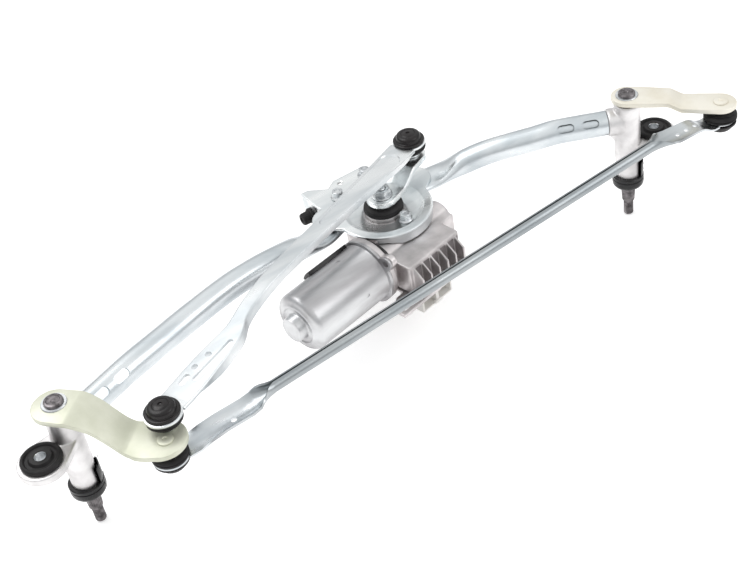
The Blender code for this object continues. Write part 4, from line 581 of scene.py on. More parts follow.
MOTOR = shift(*HUB) @ spin(MOTOR_TURN)
ARMATURE = shift(0.0, -WORM_OFFSET, AXIS_Z) @ spin(pi / 2, "Y")
MIDDLE = (LEFT + RIGHT) / 2


def on_motor(ob):
    """From the motor's axes (s along the armature, t across) to the world."""
    return lay(ob, MOTOR)


def on_axis(ob):
    """From a shape turned about Z to the armature axis."""
    return lay(ob, MOTOR @ ARMATURE)


# Pivot shafts and housings

def make_shaft(side, sizes):
    """Pivot shaft: threaded tip, serrated cone, plain journal and riveted head in a steel ring."""
    at = SHAFT_AT[side]
    points = mm(0.0, (0, 0), (3.0, 0), (3.9, 0.9))
    z = 0.0014
    while z < 0.0125:
        points += mm(z, (4.0, 0), (4.0, 0.3), (3.4, 0.7))
        z += 0.00125
    neck = ARM_TOP + GAP
    points += mm(0.0, (3.4, 14.2), (5.0, 14.8), (5.1, 15.0), (5.8, 26.5)) + [(SHAFT_R, 0.0271), (SHAFT_R, neck)]
    points += mm(neck, (-0.2, 0), (0, 0.3), r=HEAD_R)
    points += mm(SHAFT_TOP, (0, -0.9), (-0.4, -0.3), (-1.1, 0), (-1.9, 0), (-2.4, -0.6), r=HEAD_R)
    points += mm(SHAFT_TOP, (1.8, -0.6), (1.2, -1.1), (0, -1.2))
    ob = turned(points, 96)
    for v in ob.data.vertices:
        tooth = round(atan2(v.co.y, v.co.x) / (2 * pi / 96))
        if 0.0149 < v.co.z < 0.0266 and tooth % 4 > 1:
            pull = 1.0 - sizes.serration / sqrt(v.co.x ** 2 + v.co.y ** 2)
            v.co.x *= pull
            v.co.y *= pull
    dress(stand(ob, at, 0.0), side + "_pivot_shaft", "dark_steel", side + "_lever", side + "_shaft")
    bore = HEAD_R + 0.0001
    ring = turned([(bore, ARM_TOP)] + mm(ARM_TOP, (8.8, 0), (9.0, 0.3), (8.6, 0.9)) + [(bore, ARM_TOP + 0.0009)])
    dress(stand(ring, at, 0.0), side + "_head_ring", "steel", side + "_lever")


def make_housing(side, sizes):
    """Die-cast pivot housing with its spigot, ear and webs, fillets eased like a casting."""
    at = SHAFT_AT[side]
    way = TUBE_DIR[side]
    low, top = HOUSING_LOW, HOUSING_TOP
    body = turned([(0.0, low), (HOUSING_R - 0.0010, low), (HOUSING_R - 0.0002, low + 0.0012),
                   (HOUSING_R - 0.0002, low + 0.018), (HOUSING_R + 0.0004, low + 0.022),
                   (HOUSING_R + 0.0006, top - 0.012), (HOUSING_R + 0.0006, top - 0.001),
                   (HOUSING_R - 0.0004, top), (0.0, top)], 80)
    turn = spin(atan2(way.y, way.x))
    socket = aim(way, (0, 0, SOCKET_Z))
    collar = lay(turned([(0.0, 0.004), (TUBE_R + 0.0012, 0.004), (TUBE_R + 0.0012, SOCKET_REACH - 0.0015),
                         (TUBE_R + 0.0004, SOCKET_REACH - GAP), (0.0, SOCKET_REACH - GAP)], 64), socket)
    core_r = TUBE_R - TUBE_WALL - GAP - 0.0002
    core = lay(turned([(0.0, 0.006), (core_r, 0.006), (core_r, SOCKET_REACH + 0.030),
                       (0.0, SOCKET_REACH + 0.030)], 48), socket)
    web = lay(blank([(0.003, SOCKET_Z - 0.028), (SOCKET_REACH - 0.001, SOCKET_Z - 0.010),
                     (SOCKET_REACH - 0.001, SOCKET_Z), (0.003, SOCKET_Z)], -0.002, 0.002),
              turn @ spin(pi / 2, "X"))
    ex, ey, ear_z = EARS[side]
    reach = sqrt(ex * ex + ey * ey)
    ear_turn = spin(atan2(ey, ex))
    ear = blank(two_circles(0.0, reach, 0.0095, 0.0175, 32), ear_z - 0.003, ear_z + 0.003, 0.0006)
    rib = lay(blank([(0.004, ear_z - 0.019), (reach - 0.016, ear_z - 0.0025), (0.004, ear_z - 0.0025)],
                    -0.0018, 0.0018), spin(pi / 2, "X"))
    cast_skin([body, collar, core, web, lay(ear, ear_turn), lay(rib, ear_turn)], sizes.voxel, sizes.easing,
              [rod(GROMMET_NECK + 2 * GAP, ear_z - 0.0035, ear_z + 0.0035, ex, ey, 64)],
              [rod(0.0084, low - 0.01, top + 0.01, 0, 0, 64)])
    put(body, at.x, at.y)
    dress(body, side + "_cast_housing", "cast", "frame", side + "_pivot_housing", angle=60)


def make_grommet(side):
    """Rubber grommet with its steel sleeve in the housing's ear."""
    ex, ey, ear_z = EARS[side]
    place = SHAFT_AT[side] + Vector((ex, ey, ear_z))
    r, half, slit, bore = 0.0145, 0.007, 0.0033, 0.0058
    points = mm(-half, (0, 0.4), (0.4, 0), r=bore)
    points += mm(-half, (-3.4, 0), (-1.6, 0.6), (-0.4, 1.8), (0, 3.0), r=r)
    points += mm(-slit, (-0.4, -0.2), (-0.8, 0), r=r) + [(GROMMET_NECK, -slit), (GROMMET_NECK, slit)]
    points += mm(slit, (-0.8, 0), (-0.4, 0.2), r=r)
    points += mm(half, (0, -3.0), (0, -2.0), (-0.4, -1.0), (-1.2, -0.4), (-2.2, -0.2), (-2.8, -0.6),
                 (-3.4, -1.8), r=r)
    points += mm(half, (3.0, -1.6), (2.6, -1.0), (1.8, 0.4), (-1.2, 0.6), (-1.6, 0.3), (-1.6, 0.1),
                 (0, 0.1), r=bore)
    ring = put(turned(points), *place)
    dress(ring, side + "_rubber_grommet", "rubber", "frame", side + "_grommet", angle=40)
    tube = turned(mm(-0.0076, (4.2, 0.3), (4.5, 0), (5.2, 0), (5.5, 0.3))
                  + mm(0.0069, (5.5, -0.3), (5.2, 0), (4.5, 0), (4.2, -0.3)), 64)
    dress(put(tube, *place), side + "_steel_sleeve", "steel", "frame", side + "_grommet_sleeve")


def make_collar(side):
    """Moulded end collar with its locking horn and a water lip."""
    inner = HOUSING_R - 0.0002 + GAP
    outer = 0.0128
    low = HOUSING_LOW - 0.0070
    top = HOUSING_LOW + 0.0040
    floor = HOUSING_LOW - GAP
    bore = SHAFT_R + 0.0030
    points = mm(low, (0, 0.4), (0.4, 0), r=bore)
    points += mm(low, (-2.6, 0), (-1.2, 0.8), (-0.3, 2.2), (0, 3.8), (0, 7.2), (-0.5, 7.5), (-0.5, 8.0),
                 (0, 8.3), r=outer)
    points += mm(top, (0, -0.5), (-0.5, 0), r=outer) + [(inner, top), (inner, floor), (bore, floor)]
    ob = turned(points)
    spread = radians(34)
    horn = blank(arc(outer - 0.0003, -spread, spread, 24) + arc(inner + 0.0002, spread, -spread, 24),
                 top - 0.003, top + 0.0130, 0.0005)
    gather([ob, lay(horn, spin(HORN[side]))])
    stand(ob, SHAFT_AT[side], 0.0)
    dress(ob, side + "_moulded_collar", "nylon", "frame", side + "_end_collar", angle=40)


def make_washer(side):
    """Thrust washer under the lever."""
    top = ARM_TOP - ARM_T - GAP
    inner = SHAFT_R + GAP
    points = [(inner, top - 0.0012)] + mm(top, (8.8, -1.2), (9.0, -1.0), (9.0, -0.2), (8.8, 0)) + [(inner, top)]
    ob = stand(turned(points, 72), SHAFT_AT[side], 0.0)
    dress(ob, side + "_washer", "steel", side + "_lever", side + "_thrust_washer")


# Levers

def press_lever(side, key, blank_outline, holes, step, sizes):
    """Blanks a lever from 4 mm strip, pierces it, presses its step and sets it on its shaft."""
    ob = blank(blank_outline, -ARM_T, 0.0, sizes.edge, 3)
    cut(ob, rod(SHAFT_R + GAP, -0.01, 0.01), *[rod(SHANK_R + GAP, -0.01, 0.01, x, y) for x, y in holes])
    fold(ob, step)
    lay(ob, shift(SHAFT_AT[side].x, SHAFT_AT[side].y, ARM_TOP) @ spin(LEVER_ANGLE))
    dress(ob, side + "_lever_plate", key, side + "_lever", side + "_lever_arm", angle=40)


def make_left_lever(sizes):
    """Yellow lever, pressed down in one long step, with a pad that holds two studs."""
    w = 0.0165
    off = spin(-LEVER_ANGLE) @ (DRIVE_LEFT - LEFT)
    far = 0.0690
    pad = off.y + 0.0044
    stations = [(0.0, -0.0020, w - 0.0013), (0.012, -0.0022, w - 0.0011), (0.019, -0.0010, w - 0.0014),
                (0.026, 0.0006, w - 0.0024), (0.034, 0.0006, w - 0.0030), (0.042, 0.0002, w - 0.0030),
                (0.050, 0.0000, w - 0.0016), (far - 0.013, 0.0000, w + 0.0004),
                (far - 0.005, 0.0006, (w + 0.0014 + pad) / 2), (far, 0.0012, pad)]
    press_lever("left", "yellow", ribbon(stations, 24, 4), [(LEVER_RADIUS, 0), (off.x, off.y)],
                joggle(0.012, 0.050, LEFT_DROP, 30), sizes)


def make_right_lever(sizes):
    """Pale lever with a shallow step between its two round ends."""
    w = 0.0125
    stations = [(0.0, 0.0, w), (0.014, 0.0, w - 0.0003), (0.030, 0.0, w - 0.0012), (0.045, 0.0, w - 0.0014),
                (0.058, 0.0, w - 0.0008), (LEVER_RADIUS, 0.0, w - 0.0003)]
    press_lever("right", "cream", ribbon(stations), [(LEVER_RADIUS, 0)], joggle(0.032, 0.044, RIGHT_DROP), sizes)


# Ball joints

def stand(ob, at, z, down=False):
    """Sets a turned piece on its pivot, turned over where it hangs under a lever."""
    if down:
        lay(ob, spin(pi, "X"))
    return put(ob, at.x, at.y, z)


def make_stud(name, node, at, z, down, body, shank):
    """Ball stud: riveted shank, flange, neck and polished ball."""
    neck = 0.0038
    points = [(0.0, -shank), (SHANK_R, -shank), (SHANK_R, 0.0)] if shank > 0.0 else [(0.0, 0.0)]
    points += [(0.0073, 0.0), (0.0075, 0.0002), (0.0075, 0.0016), (0.0071, 0.0020), (neck, 0.0020)]
    ball = arc(BALL_R, -acos(neck / BALL_R), pi / 2, 13)
    points += [(r, STUD_REACH + h) for r, h in ball[:-1]] + [(0.0, STUD_REACH + BALL_R)]
    dress(stand(turned(points, 64), at, z, down), name, "steel", body, node, angle=40)
    if shank > 0.0:
        head = mm(-shank, (0, -0.6), (1.4, -0.6), (1.8, -1.2), (4.6, -1.3), (5.4, -0.9), (5.6, 0), (0, 0))
        key = "yellow" if body == "left_lever" else "cream"
        dress(stand(turned(head, 64), at, z, down), name + "_rivet", key, body, slot="yellow_steel", angle=40)


def make_cap(name, node, at, z, down, body, sizes):
    """Glossy acetal cup: flange, stepped dome and a moulded dimple, round the ball."""
    cavity = BALL_R + GAP
    eye = EYE_T / 2 + GAP
    crown = eye + 0.0073
    lip = -0.0040
    points = [(sqrt(cavity * cavity - lip * lip), lip), (0.0082, lip), (CUP_R, lip + 0.0006), (CUP_R, eye)]
    points += mm(eye, (12.2, 0), (12.5, 0.3), (12.5, 1.3), (12.2, 1.7), (11.7, 1.9), (10.5, 1.9), (10.1, 2.2),
                 (9.9, 3.0), (9.7, 4.6), (9.3, 5.5), (8.6, 6.2), (7.6, 6.6), (6.4, 6.8), (5.9, 6.8), (5.6, 6.5),
                 (5.3, 6.7), (4.0, 7.1), (2.4, 7.3), (1.6, 7.3))
    points += [(0.0013, crown - 0.0001 - sizes.dimple * 0.7), (0.0007, crown - sizes.dimple),
               (0.0, crown - sizes.dimple), (0.0, cavity)]
    points += arc(cavity, pi / 2, asin(lip / cavity), 12)[1:-1]
    dress(stand(turned(points), at, z, down), name, "cap", body, node, angle=35)


def make_boot(name, node, at, z, down, body, sizes):
    """Dust boot: a rolled top bead, soft bellows and a sealing lip."""
    b = sizes.boot_bulge * 1000
    points = mm(-EYE_T / 2 - GAP, (10.1, -0.2), (10.3, 0), (12.7, 0), (13.0, -0.4), (13.0, -1.4), (12.8 - b, -1.9),
                     (13.0, -2.5), (12.9, -3.4), (12.2, -4.3), (11.2 - b, -5.0), (10.8, -5.8), (9.8, -6.5),
                     (7.6, -7.0), (5.4, -7.2), (5.2, -7.0), (5.2, -6.0), (7.0, -5.5), (9.0, -4.8), (10.1, -3.0))
    dress(stand(turned(points), at, z, down), name, "rubber", body, node, angle=50)


# Rods

def channel_ring(x, c, w, depth, wall, round_r):
    """Section of the pressed channel, centred on c: flat top, round shoulders and two flanges down."""
    top, low = EYE_T / 2, -EYE_T / 2
    tip = low - max(depth, 0.0002)
    bend = [pi * (0.5 - k / 10) for k in range(6)]
    inner_r = max(round_r - 0.0012, 0.0003)
    right = [(w - round_r + round_r * cos(a), top - round_r + round_r * sin(a)) for a in bend]
    inside = w - wall
    back = [(inside - inner_r + inner_r * cos(a), low - inner_r + inner_r * sin(a)) for a in bend[::-1]]
    back = [(y, min(z, low)) if depth > 0.0015 else (y, low - 0.0001) for y, z in back]
    half = right + [(w, tip), (inside, tip)] + back
    mirror = [(-y, z) for y, z in half[::-1]]
    return [(x, y + c, z) for y, z in half + mirror]


def recess(stations, floor, top, slope):
    """Cutter for a pressed panel with sloping walls."""
    low = [(x, y, floor) for x, y in ribbon(stations)]
    high = [(x, y, top) for x, y in ribbon([(x, c, w + slope) for x, c, w in stations])]
    return skin_rings([low, high])


def make_drive_rod(sizes):
    """Pressed channel rod with flat eyes, a waist and a wide embossed blade."""
    end = ROD_LEN
    t = EYE_T
    lines = [(0.0095, 0.0, 0.0112, 0.0), (0.0160, 0.0, 0.0112, 0.0), (0.0240, 0.0, 0.0113, 0.0),
             (0.0340, 0.0, 0.0114, 0.0020), (0.0480, 0.0, 0.0108, 0.0056), (0.0620, -0.0006, 0.0098, 0.0066),
             (0.0760, -0.0011, 0.0083, 0.0068), (0.0840, 0.0, 0.0070, 0.0067), (0.0930, 0.0025, 0.0056, 0.0066),
             (0.1080, 0.0044, 0.0056, 0.0062), (0.1350, 0.0050, 0.0062, 0.0054),
             (end - 0.1427, 0.0042, 0.0068, 0.0046), (end - 0.0977, 0.0028, 0.0078, 0.0040),
             (end - 0.0527, 0.0012, 0.0098, 0.0034), (end - 0.0227, 0.0004, 0.0112, 0.0022),
             (end - 0.0147, 0.0002, 0.0114, 0.0), (end - 0.0095, 0.0, 0.0112, 0.0)]
    body = skin_rings([channel_ring(x, c, w, max(d, 0.0), 0.0020, 0.0012)
                       for x, c, w, d in smooth_line(lines, 4)])
    join(body, rod(EYE_R, -t / 2, t / 2, 0, 0, 96, 0.0005), rod(EYE_R - 0.0006, -t / 2, t / 2, end, 0, 96, 0.0005))
    cut(body, rod(CUP_R + GAP, -0.02, 0.02, 0, 0, 72), rod(CUP_R + GAP, -0.02, 0.02, end, 0, 72))
    slit = lay(oblong(0.041, 0.0022, -0.004, 0.01), spin(radians(-5)))
    cut(body, put(slit, 0.0520, -0.0034), put(oblong(0.0110, 0.0026, -0.004, 0.01), 0.0295, 0.0048))
    cut(body, rod(0.0024, -0.004, 0.01, 0.0420, 0.0052), rod(0.0024, -0.004, 0.01, 0.0550, 0.0032))
    pan = [(end - 0.1160, 0.0032, 0.0036), (end - 0.0977, 0.0028, 0.0048), (end - 0.0527, 0.0012, 0.0068),
           (end - 0.0290, 0.0004, 0.0078)]
    cut(body, recess(pan, t / 2 - sizes.emboss, t / 2 + 0.0003, 0.0010))
    bow = [(0.0150, 0.0), (0.0340, 0.05), (0.0480, 0.14), (0.0620, 0.26), (0.0760, 0.42), (0.0900, 0.60),
           (0.1080, 0.82), (0.1350, 1.0), (end - 0.1427, 0.78), (end - 0.0977, 0.52), (end - 0.0527, 0.27),
           (end - 0.0300, 0.06), (end - 0.0150, 0.0)]
    slope = (PIN_BALL_Z - DRIVE_BALL_Z) / (end - 0.0300)
    fold(body, smooth_line([(x, DRIVE_BALL_Z + slope * (x - 0.0150) + share * DRIVE_RISE) for x, share in bow], 3))
    lay(body, shift(*DRIVE_LEFT) @ spin(ROD_ANGLE))
    dress(body, "drive_rod_channel", "zinc_rod", "drive_rod", "drive_rod", angle=40)


def rolled_ring(x, bend, scale, z, steps=24):
    """Section of the coupling strip, from flat to rolled upward until its edges almost meet on top."""
    radius = 0.0220 * scale / bend
    outer, inner = [], []
    for k in range(steps + 1):
        a = bend * (k / steps - 0.5)
        for r, side in ((radius + 0.0008, outer), (radius - 0.0008, inner)):
            side.append((x, r * sin(a), z + radius - r * cos(a)))
    return outer + inner[::-1]


def make_coupling_rod():
    """Coupling rod: strip rolled into a tube along the middle and left flat at both eyes."""
    length = (RIGHT - LEFT).length
    z0, z1 = LINK_BALL_LEFT, LINK_BALL_RIGHT
    tight = 2 * pi * 0.955
    lines = [(0.0095, 0.02, 0.90), (0.0180, 0.06, 0.92), (0.0270, 0.95, 0.95), (0.0400, 1.35, 0.98),
             (0.0600, 1.50, 1.0), (0.0670, 1.8, 1.0), (0.0720, 3.2, 1.0), (0.0770, 4.9, 1.0), (0.0820, tight, 1.0),
             (length / 2, tight, 1.0), (length - 0.0740, tight, 1.0), (length - 0.0690, 4.9, 1.0),
             (length - 0.0640, 3.2, 1.0), (length - 0.0590, 1.8, 0.98), (length - 0.0520, 1.0, 0.94),
             (length - 0.0360, 0.7, 0.88), (length - 0.0220, 0.3, 0.84), (length - 0.0160, 0.06, 0.82),
             (length - 0.0095, 0.02, 0.82)]
    low, high = z0 + 0.0010, z1 + 0.0060
    levels = ((0.0, z0), (0.0145, z0), (0.0400, low), (0.0600, low), (0.0670, low + 0.0009),
              (0.0720, low + 0.0023), (0.0770, low + 0.0037), (0.0820, low + 0.0046),
              (length - 0.0740, high + 0.0004), (length - 0.0300, high), (length - 0.0250, high - 0.0010),
              (length - 0.0190, high - 0.0044), (length - 0.0145, z1), (length, z1))
    rings = []
    for a, b in zip(lines, lines[1:]):
        for t in (0.0, 0.25, 0.5, 0.75):
            x, bend, scale = (p + (q - p) * t for p, q in zip(a, b))
            rings.append(rolled_ring(x, bend, scale, float(np.interp(x, *zip(*levels)))))
    rings.append(rolled_ring(*lines[-1], z1))
    body = skin_rings(rings)
    t = 0.0016
    join(body, rod(EYE_R - 0.0010, z0 - t / 2, z0 + t / 2, 0, 0, 96, 0.0003))
    join(body, rod(EYE_R - 0.0025, z1 - t / 2, z1 + t / 2, length, 0, 96, 0.0003))
    cut(body, rod(CUP_R + GAP, z0 - 0.02, z0 + 0.02, 0, 0, 72),
        rod(CUP_R + GAP, z1 - 0.02, z1 + 0.02, length, 0, 72))
    cut(body, rod(0.0022, z0 - 0.01, z0 + 0.03, 0.0480, -0.0020))
    for back in (0.0455, 0.0365, 0.0275):
        cut(body, rod(0.0018, z1 - 0.02, z1 + 0.02, length - back, 0.0))
    put(body, *LINK_LEFT)
    dress(body, "coupling_rod_strip", "zinc", "coupling_rod", "coupling_rod", angle=40)


# Crank and output shaft

def make_crank():
    """Forged crank arm, stepped up to the pin, with its rivet and nut."""
    rise = CRANK_TOP - CRANK_HUB_TOP
    arm = blank(two_circles(0.0, CRANK_RADIUS, 0.0125, 0.0120, 32), -0.005, 0.0, 0.0009, 3)
    cut(arm, rod(0.005 + GAP, -0.02, 0.02), rod(0.0045 + GAP, -0.02, 0.02, CRANK_RADIUS, 0))
    fold(arm, joggle(0.0135, 0.0330, -rise, 16))
    lay(arm, shift(HUB.x, HUB.y, CRANK_HUB_TOP) @ spin(ROD_ANGLE))
    dress(arm, "crank_plate", "zinc_plate", "motor_crank", "crank_arm", angle=40)

    low = CRANK_TOP - 0.005 - GAP
    rivet = turned(mm(low, (0, -1.4), (5.0, -1.4), (6.2, -1.0), (6.6, -0.5), (6.6, 0), (4.5, 0))
                   + mm(CRANK_TOP, (4.5, -0.1), (0, -0.1)), 64)
    dress(stand(rivet, PIN, 0.0), "crank_rivet", "steel", "motor_crank", "crank_pin_shank")

    low = CRANK_HUB_TOP + GAP
    nut = blank(hexagon(0.0075, 0.3), low + 0.0010, low + 0.0062, 0.0005)
    crown = turned(mm(low, (0, 0), (7.0, 0), (7.6, 0.8), (7.6, 5.6), (6.8, 6.2), (0, 6.2)), 72)
    combine(nut, crown, "INTERSECT")
    join(nut, rod(0.0086, low, low + 0.0014, 0, 0, 72, 0.0004))
    cut(nut, rod(0.0039 + GAP, low - 0.01, low + 0.02))
    dress(stand(nut, HUB, 0.0), "crank_flange_nut", "steel", "motor_crank", "crank_nut")

    top = 0.0955
    points = mm(0.0, (0, 44.0), (4.4, 44.0), (5.0, 44.6)) + mm(CRANK_HUB_TOP, (5.0, -1.2), (3.9, -0.2))
    z = CRANK_HUB_TOP + 0.0004
    while z < top - 0.0016:
        points += mm(z, (3.9, 0), (3.9, 0.3), (3.5, 0.6))
        z += 0.0010
    points += mm(top, (3.7, -0.6), (3.2, 0), (0, 0))
    dress(stand(turned(points, 72), HUB, 0.0), "motor_output_shaft", "steel", "motor_crank", "output_shaft")


def make_seal():
    """Ribbed rubber cap over the output boss."""
    low = BOSS_TOP + GAP
    inner = 0.005 + GAP
    points = [(inner, low)] + mm(
        low, (15.4, 0), (15.9, 0.5), (16.0, 1.5), (15.8, 2.6), (15.4, 2.9), (15.4, 3.3), (15.6, 3.6), (15.2, 4.7),
        (14.2, 5.3), (11.8, 5.9), (11.0, 6.1), (10.4, 6.9), (9.8, 7.3), (6.4, 7.3), (5.6, 6.9))
    ob = turned(points + [(inner, low + 0.0066)])
    dress(stand(ob, HUB, 0.0), "output_seal_cap", "rubber", "frame", "output_seal", angle=45)


# Frame tubes and bracket

FLAT_HALF_W = 0.0138
FLAT_HALF_H = 0.0048
FLAT_Z = PLATE_TOP - PLATE_T - GAP - FLAT_HALF_H
PATH_GAP = 0.0035
TUBE_ENDS = {"left": Vector((0.0155, 0.0850, FLAT_Z)), "right": Vector((0.0940, 0.0820, FLAT_Z))}
TUBE_MIDS = {"left": ((-0.1001, 0.0501, 0.0905), (-0.0480, 0.0620, 0.0840), (-0.0050, 0.0775, 0.0686)),
             "right": ((0.1879, 0.0338, 0.0915), (0.1490, 0.0580, 0.0835), (0.1145, 0.0785, 0.0686))}


def even_path(points, gap):
    """Points a steady gap apart along a line, with its tightest turns eased."""
    pts = np.array([tuple(p) for p in points], float)
    run = np.concatenate(([0.0], np.cumsum(np.linalg.norm(np.diff(pts, axis=0), axis=1))))
    at = np.linspace(0.0, run[-1], int(run[-1] / gap) + 1)
    line = np.stack([np.interp(at, run, pts[:, k]) for k in range(3)], axis=1)
    for _ in range(6):
        line[1:-1] = (line[:-2] + 2 * line[1:-1] + line[2:]) / 4
    return [Vector(p) for p in line]


def tube_ring(point, ahead, half_w, half_h, steps):
    """One ring of the tube's section, square to its run."""
    side = Vector((0, 0, 1)).cross(ahead).normalized()
    up = ahead.cross(side)
    ring = []
    for k in range(steps):
        a = 2 * pi * (k + 0.5) / steps
        ring.append(point + side * (half_w * cos(a)) + up * (half_h * sin(a)))
    return ring


def make_tube(side, sizes):
    """Frame tube: round on its spigot, bent, and pressed flat where the bracket holds it."""
    start, way = SHAFT_AT[side], TUBE_DIR[side]
    a = start + way * SOCKET_REACH + Vector((0, 0, SOCKET_Z))
    b = start + way * (SOCKET_REACH + SPIGOT_LEN) + Vector((0, 0, SOCKET_Z))
    line = [b] + [MIDDLE + Vector(p) for p in TUBE_MIDS[side]] + [MIDDLE + TUBE_ENDS[side]]
    path = even_path([a, a + (b - a) * 0.5] + smooth_line(line, 12), PATH_GAP)
    outer, inner = [], []
    for k, p in enumerate(path):
        ahead = (path[min(k + 1, len(path) - 1)] - path[max(k - 1, 0)]).normalized()
        t = min(max((0.050 - PATH_GAP * (len(path) - 1 - k)) / 0.028, 0.0), 1.0)
        t = t * t * (3 - 2 * t)
        half_w = TUBE_R + (FLAT_HALF_W - TUBE_R) * t
        half_h = TUBE_R + (FLAT_HALF_H - TUBE_R) * t
        outer.append(tube_ring(p, ahead, half_w, half_h, sizes.tube_steps))
        inner.append(tube_ring(p, ahead, half_w - TUBE_WALL, half_h - TUBE_WALL, sizes.tube_steps))
    ob = skin_rings(outer + inner[::-1] + outer[:1], False)
    turn = spin(atan2(way.y, way.x))
    roll = radians(50) if way.x > 0 else radians(-50)
    for where in (0.014, 0.034):
        stake = lay(oblong(0.0135, 0.0033, TUBE_R - 0.0012, TUBE_R + 0.004), turn @ spin(roll, "X"))
        cut(ob, put(stake, *(start + way * (SOCKET_REACH + where) + Vector((0, 0, SOCKET_Z)))))
    dress(ob, side + "_bent_tube", "zinc_tube", "frame", side + "_frame_tube", angle=40)


SCREWS = ((0.0055, -0.0218), (-0.0190, 0.0370), (0.0135, 0.0465))
DECKS = (PLATE_TOP - DISH_DEEP, PLATE_TOP, PLATE_TOP)
MOUNT = Vector((0.0150, 0.1165, 0.0610))
CHEEK_OFF = 0.0004
PRESSING_PASSES = 4


def make_bracket(sizes):
    """Pressed bracket plate with its dish, arms, rim and folded cheek, edges eased like a pressing."""
    t, top = PLATE_T, PLATE_TOP
    under = top - t
    hub = HUB - MIDDLE
    solids = [rod(DISH_R, under, top, 0, 0, 128)]
    for side in ("left", "right"):
        tip = TUBE_ENDS[side] - hub
        arm = blank(two_circles(0.0, sqrt(tip.x ** 2 + tip.y ** 2), 0.0260, 0.0145), under, top)
        solids.append(lay(arm, spin(atan2(tip.y, tip.x))))
    solids.append(blank([(0.0, 0.0), (0.0340, 0.0240), (0.0250, 0.0500), (0.0180, 0.0590), (-0.0100, 0.0590),
                         (-0.0260, 0.0480), (-0.0300, 0.0300)], under, top))
    for x, y in SCREWS[1:]:
        lobe = blank(two_circles(0.0, sqrt(x * x + y * y), 0.0260, 0.0105), under, top)
        solids.append(lay(lobe, spin(atan2(y, x))))
    mx, my = MOUNT.x - hub.x, MOUNT.y - hub.y
    solids.append(blank([(mx, my + 0.0121), (mx, my - 0.0130), (-0.0300, 0.0100), (-0.0050, 0.0420),
                         (mx + 0.0070, my + 0.0125), (mx + 0.0012, my + 0.0128)], under, top))
    cheek = blank([(-0.0121, 0.0), (0.0121, 0.0), (0.0121, -0.0120), (0.0060, -0.0240), (-0.0060, -0.0240),
                   (-0.0121, -0.0120)], -t, 0.0)
    upright = Matrix(((0, 0, -1, mx + CHEEK_OFF), (1, 0, 0, my), (0, 1, 0, top - 0.0002), (0, 0, 0, 1)))
    solids.append(lay(cheek, upright))
    deep, step_r = DISH_DEEP, 0.0318
    solids.append(turned([(0.0, under - deep), (step_r - 0.0010, under - deep), (step_r + 0.0016, under + 0.0005),
                          (0.0, under + 0.0005)], 128))
    solids.append(rod(0.0081, under - deep, under + 0.0003, *SCREWS[0]))
    lip = DISH_R - 0.0003
    rim = turned([(lip - t, top - 0.0098), (lip, top - 0.0098), (lip, top - 0.0010), (lip - t, top - 0.0010)], 128)
    sector = blank([(0.0, 0.0), (-0.035, -0.038), (-0.010, -0.080), (0.080, -0.080), (0.080, -0.012)], 0.0, 0.2)
    combine(rim, sector, "INTERSECT")
    solids.append(cut(rim, lay(flange_relief(), spin(MOTOR_TURN))))
    bore = BOSS_R + 2 * GAP
    dish = turned([(0.0, 0.06), (bore, 0.06), (bore, top - deep), (step_r - 0.0026, top - deep),
                   (step_r, top + 0.0001), (step_r, top + 0.01), (0.0, top + 0.01)], 128)
    holes = [lay(block(-0.075, -0.0395, -0.065, -0.0035, 0.06, 0.09), spin(MOTOR_TURN)),
             lay(rod(0.0040 + 2 * GAP, -0.01, 0.01),
                 shift(mx, my, MOUNT.z) @ spin(pi / 2, "Y"))]
    holes += [rod(0.0030 + 2 * GAP, 0.06, 0.10, x, y) for x, y in SCREWS]
    holes.append(rod(0.0022, 0.06, 0.10, -0.0075, 0.0520))
    well = rod(0.0064, top - deep, top + 0.01, *SCREWS[0])
    body = cast_skin(solids, sizes.voxel, PRESSING_PASSES, [dish], [well], holes)
    put(body, HUB.x, HUB.y)
    dress(body, "pressed_bracket", "zinc_plate", "frame", "motor_bracket", angle=60)


def make_plug():
    """Rubber locating plug through the bracket's cheek."""
    t = PLATE_T + 2 * GAP
    ob = turned(mm(0.0, (0, -3.5), (4.8, -3.5), (5.6, -3.0), (5.8, -2.2), (5.8, 0), (4.0, 0))
                + mm(t, (4.0, 0), (6.4, 0), (6.6, 0.4), (6.6, 1.6), (6.2, 2.2), (5.3, 2.6), (5.1, 8.0),
                          (4.7, 9.0), (3.8, 9.4), (2.6, 9.4), (2.2, 8.4), (0, 8.2)), 72)
    at = MIDDLE + Vector((MOUNT.x + CHEEK_OFF + PLATE_T + GAP, MOUNT.y, MOUNT.z))
    lay(ob, shift(*at) @ spin(-pi / 2, "Y"))
    dress(ob, "locating_plug", "rubber", "frame", "mount_plug", angle=45)


def make_screw(k):
    """Flanged hexagon screw that holds the motor."""
    x, y = SCREWS[k]
    deck = DECKS[k] + GAP
    ob = turned(mm(deck, (0, -8), (3.0, -8), (3.0, 0), (5.7, 0), (6.0, 0.3), (6.0, 0.9), (5.2, 1.8), (0, 1.8)), 64)
    head = blank(hexagon(0.0047, k), deck + 0.0015, deck + 0.0062, 0.0003)
    crown = turned(mm(deck, (0, 0), (4.7, 0), (4.7, 5.4), (4.0, 6.2), (2.4, 6.2), (2.0, 5.6), (0, 5.6)), 64)
    put(join(ob, combine(head, crown, "INTERSECT")), HUB.x + x, HUB.y + y)
    dress(ob, "flange_screw_%d" % (k + 1), "steel", "frame", "bracket_screw_%d" % (k + 1))


# Motor

CAN_R = 0.0240
CAN_REAR = -0.1310
CAN_FRONT = -0.0480
EAR_TURN = 0.9
EAR_REACH = CAN_R + 0.0065
GEAR_TOP = 0.0700
GEAR_LOW = 0.0400
DRUM_R = 0.0325
BAY = (-0.0370, 0.0200, -0.0590, -0.0380)
FIN_REACH = 0.0095
FIN_COUNT = 6
FIN_PITCH = 0.0094


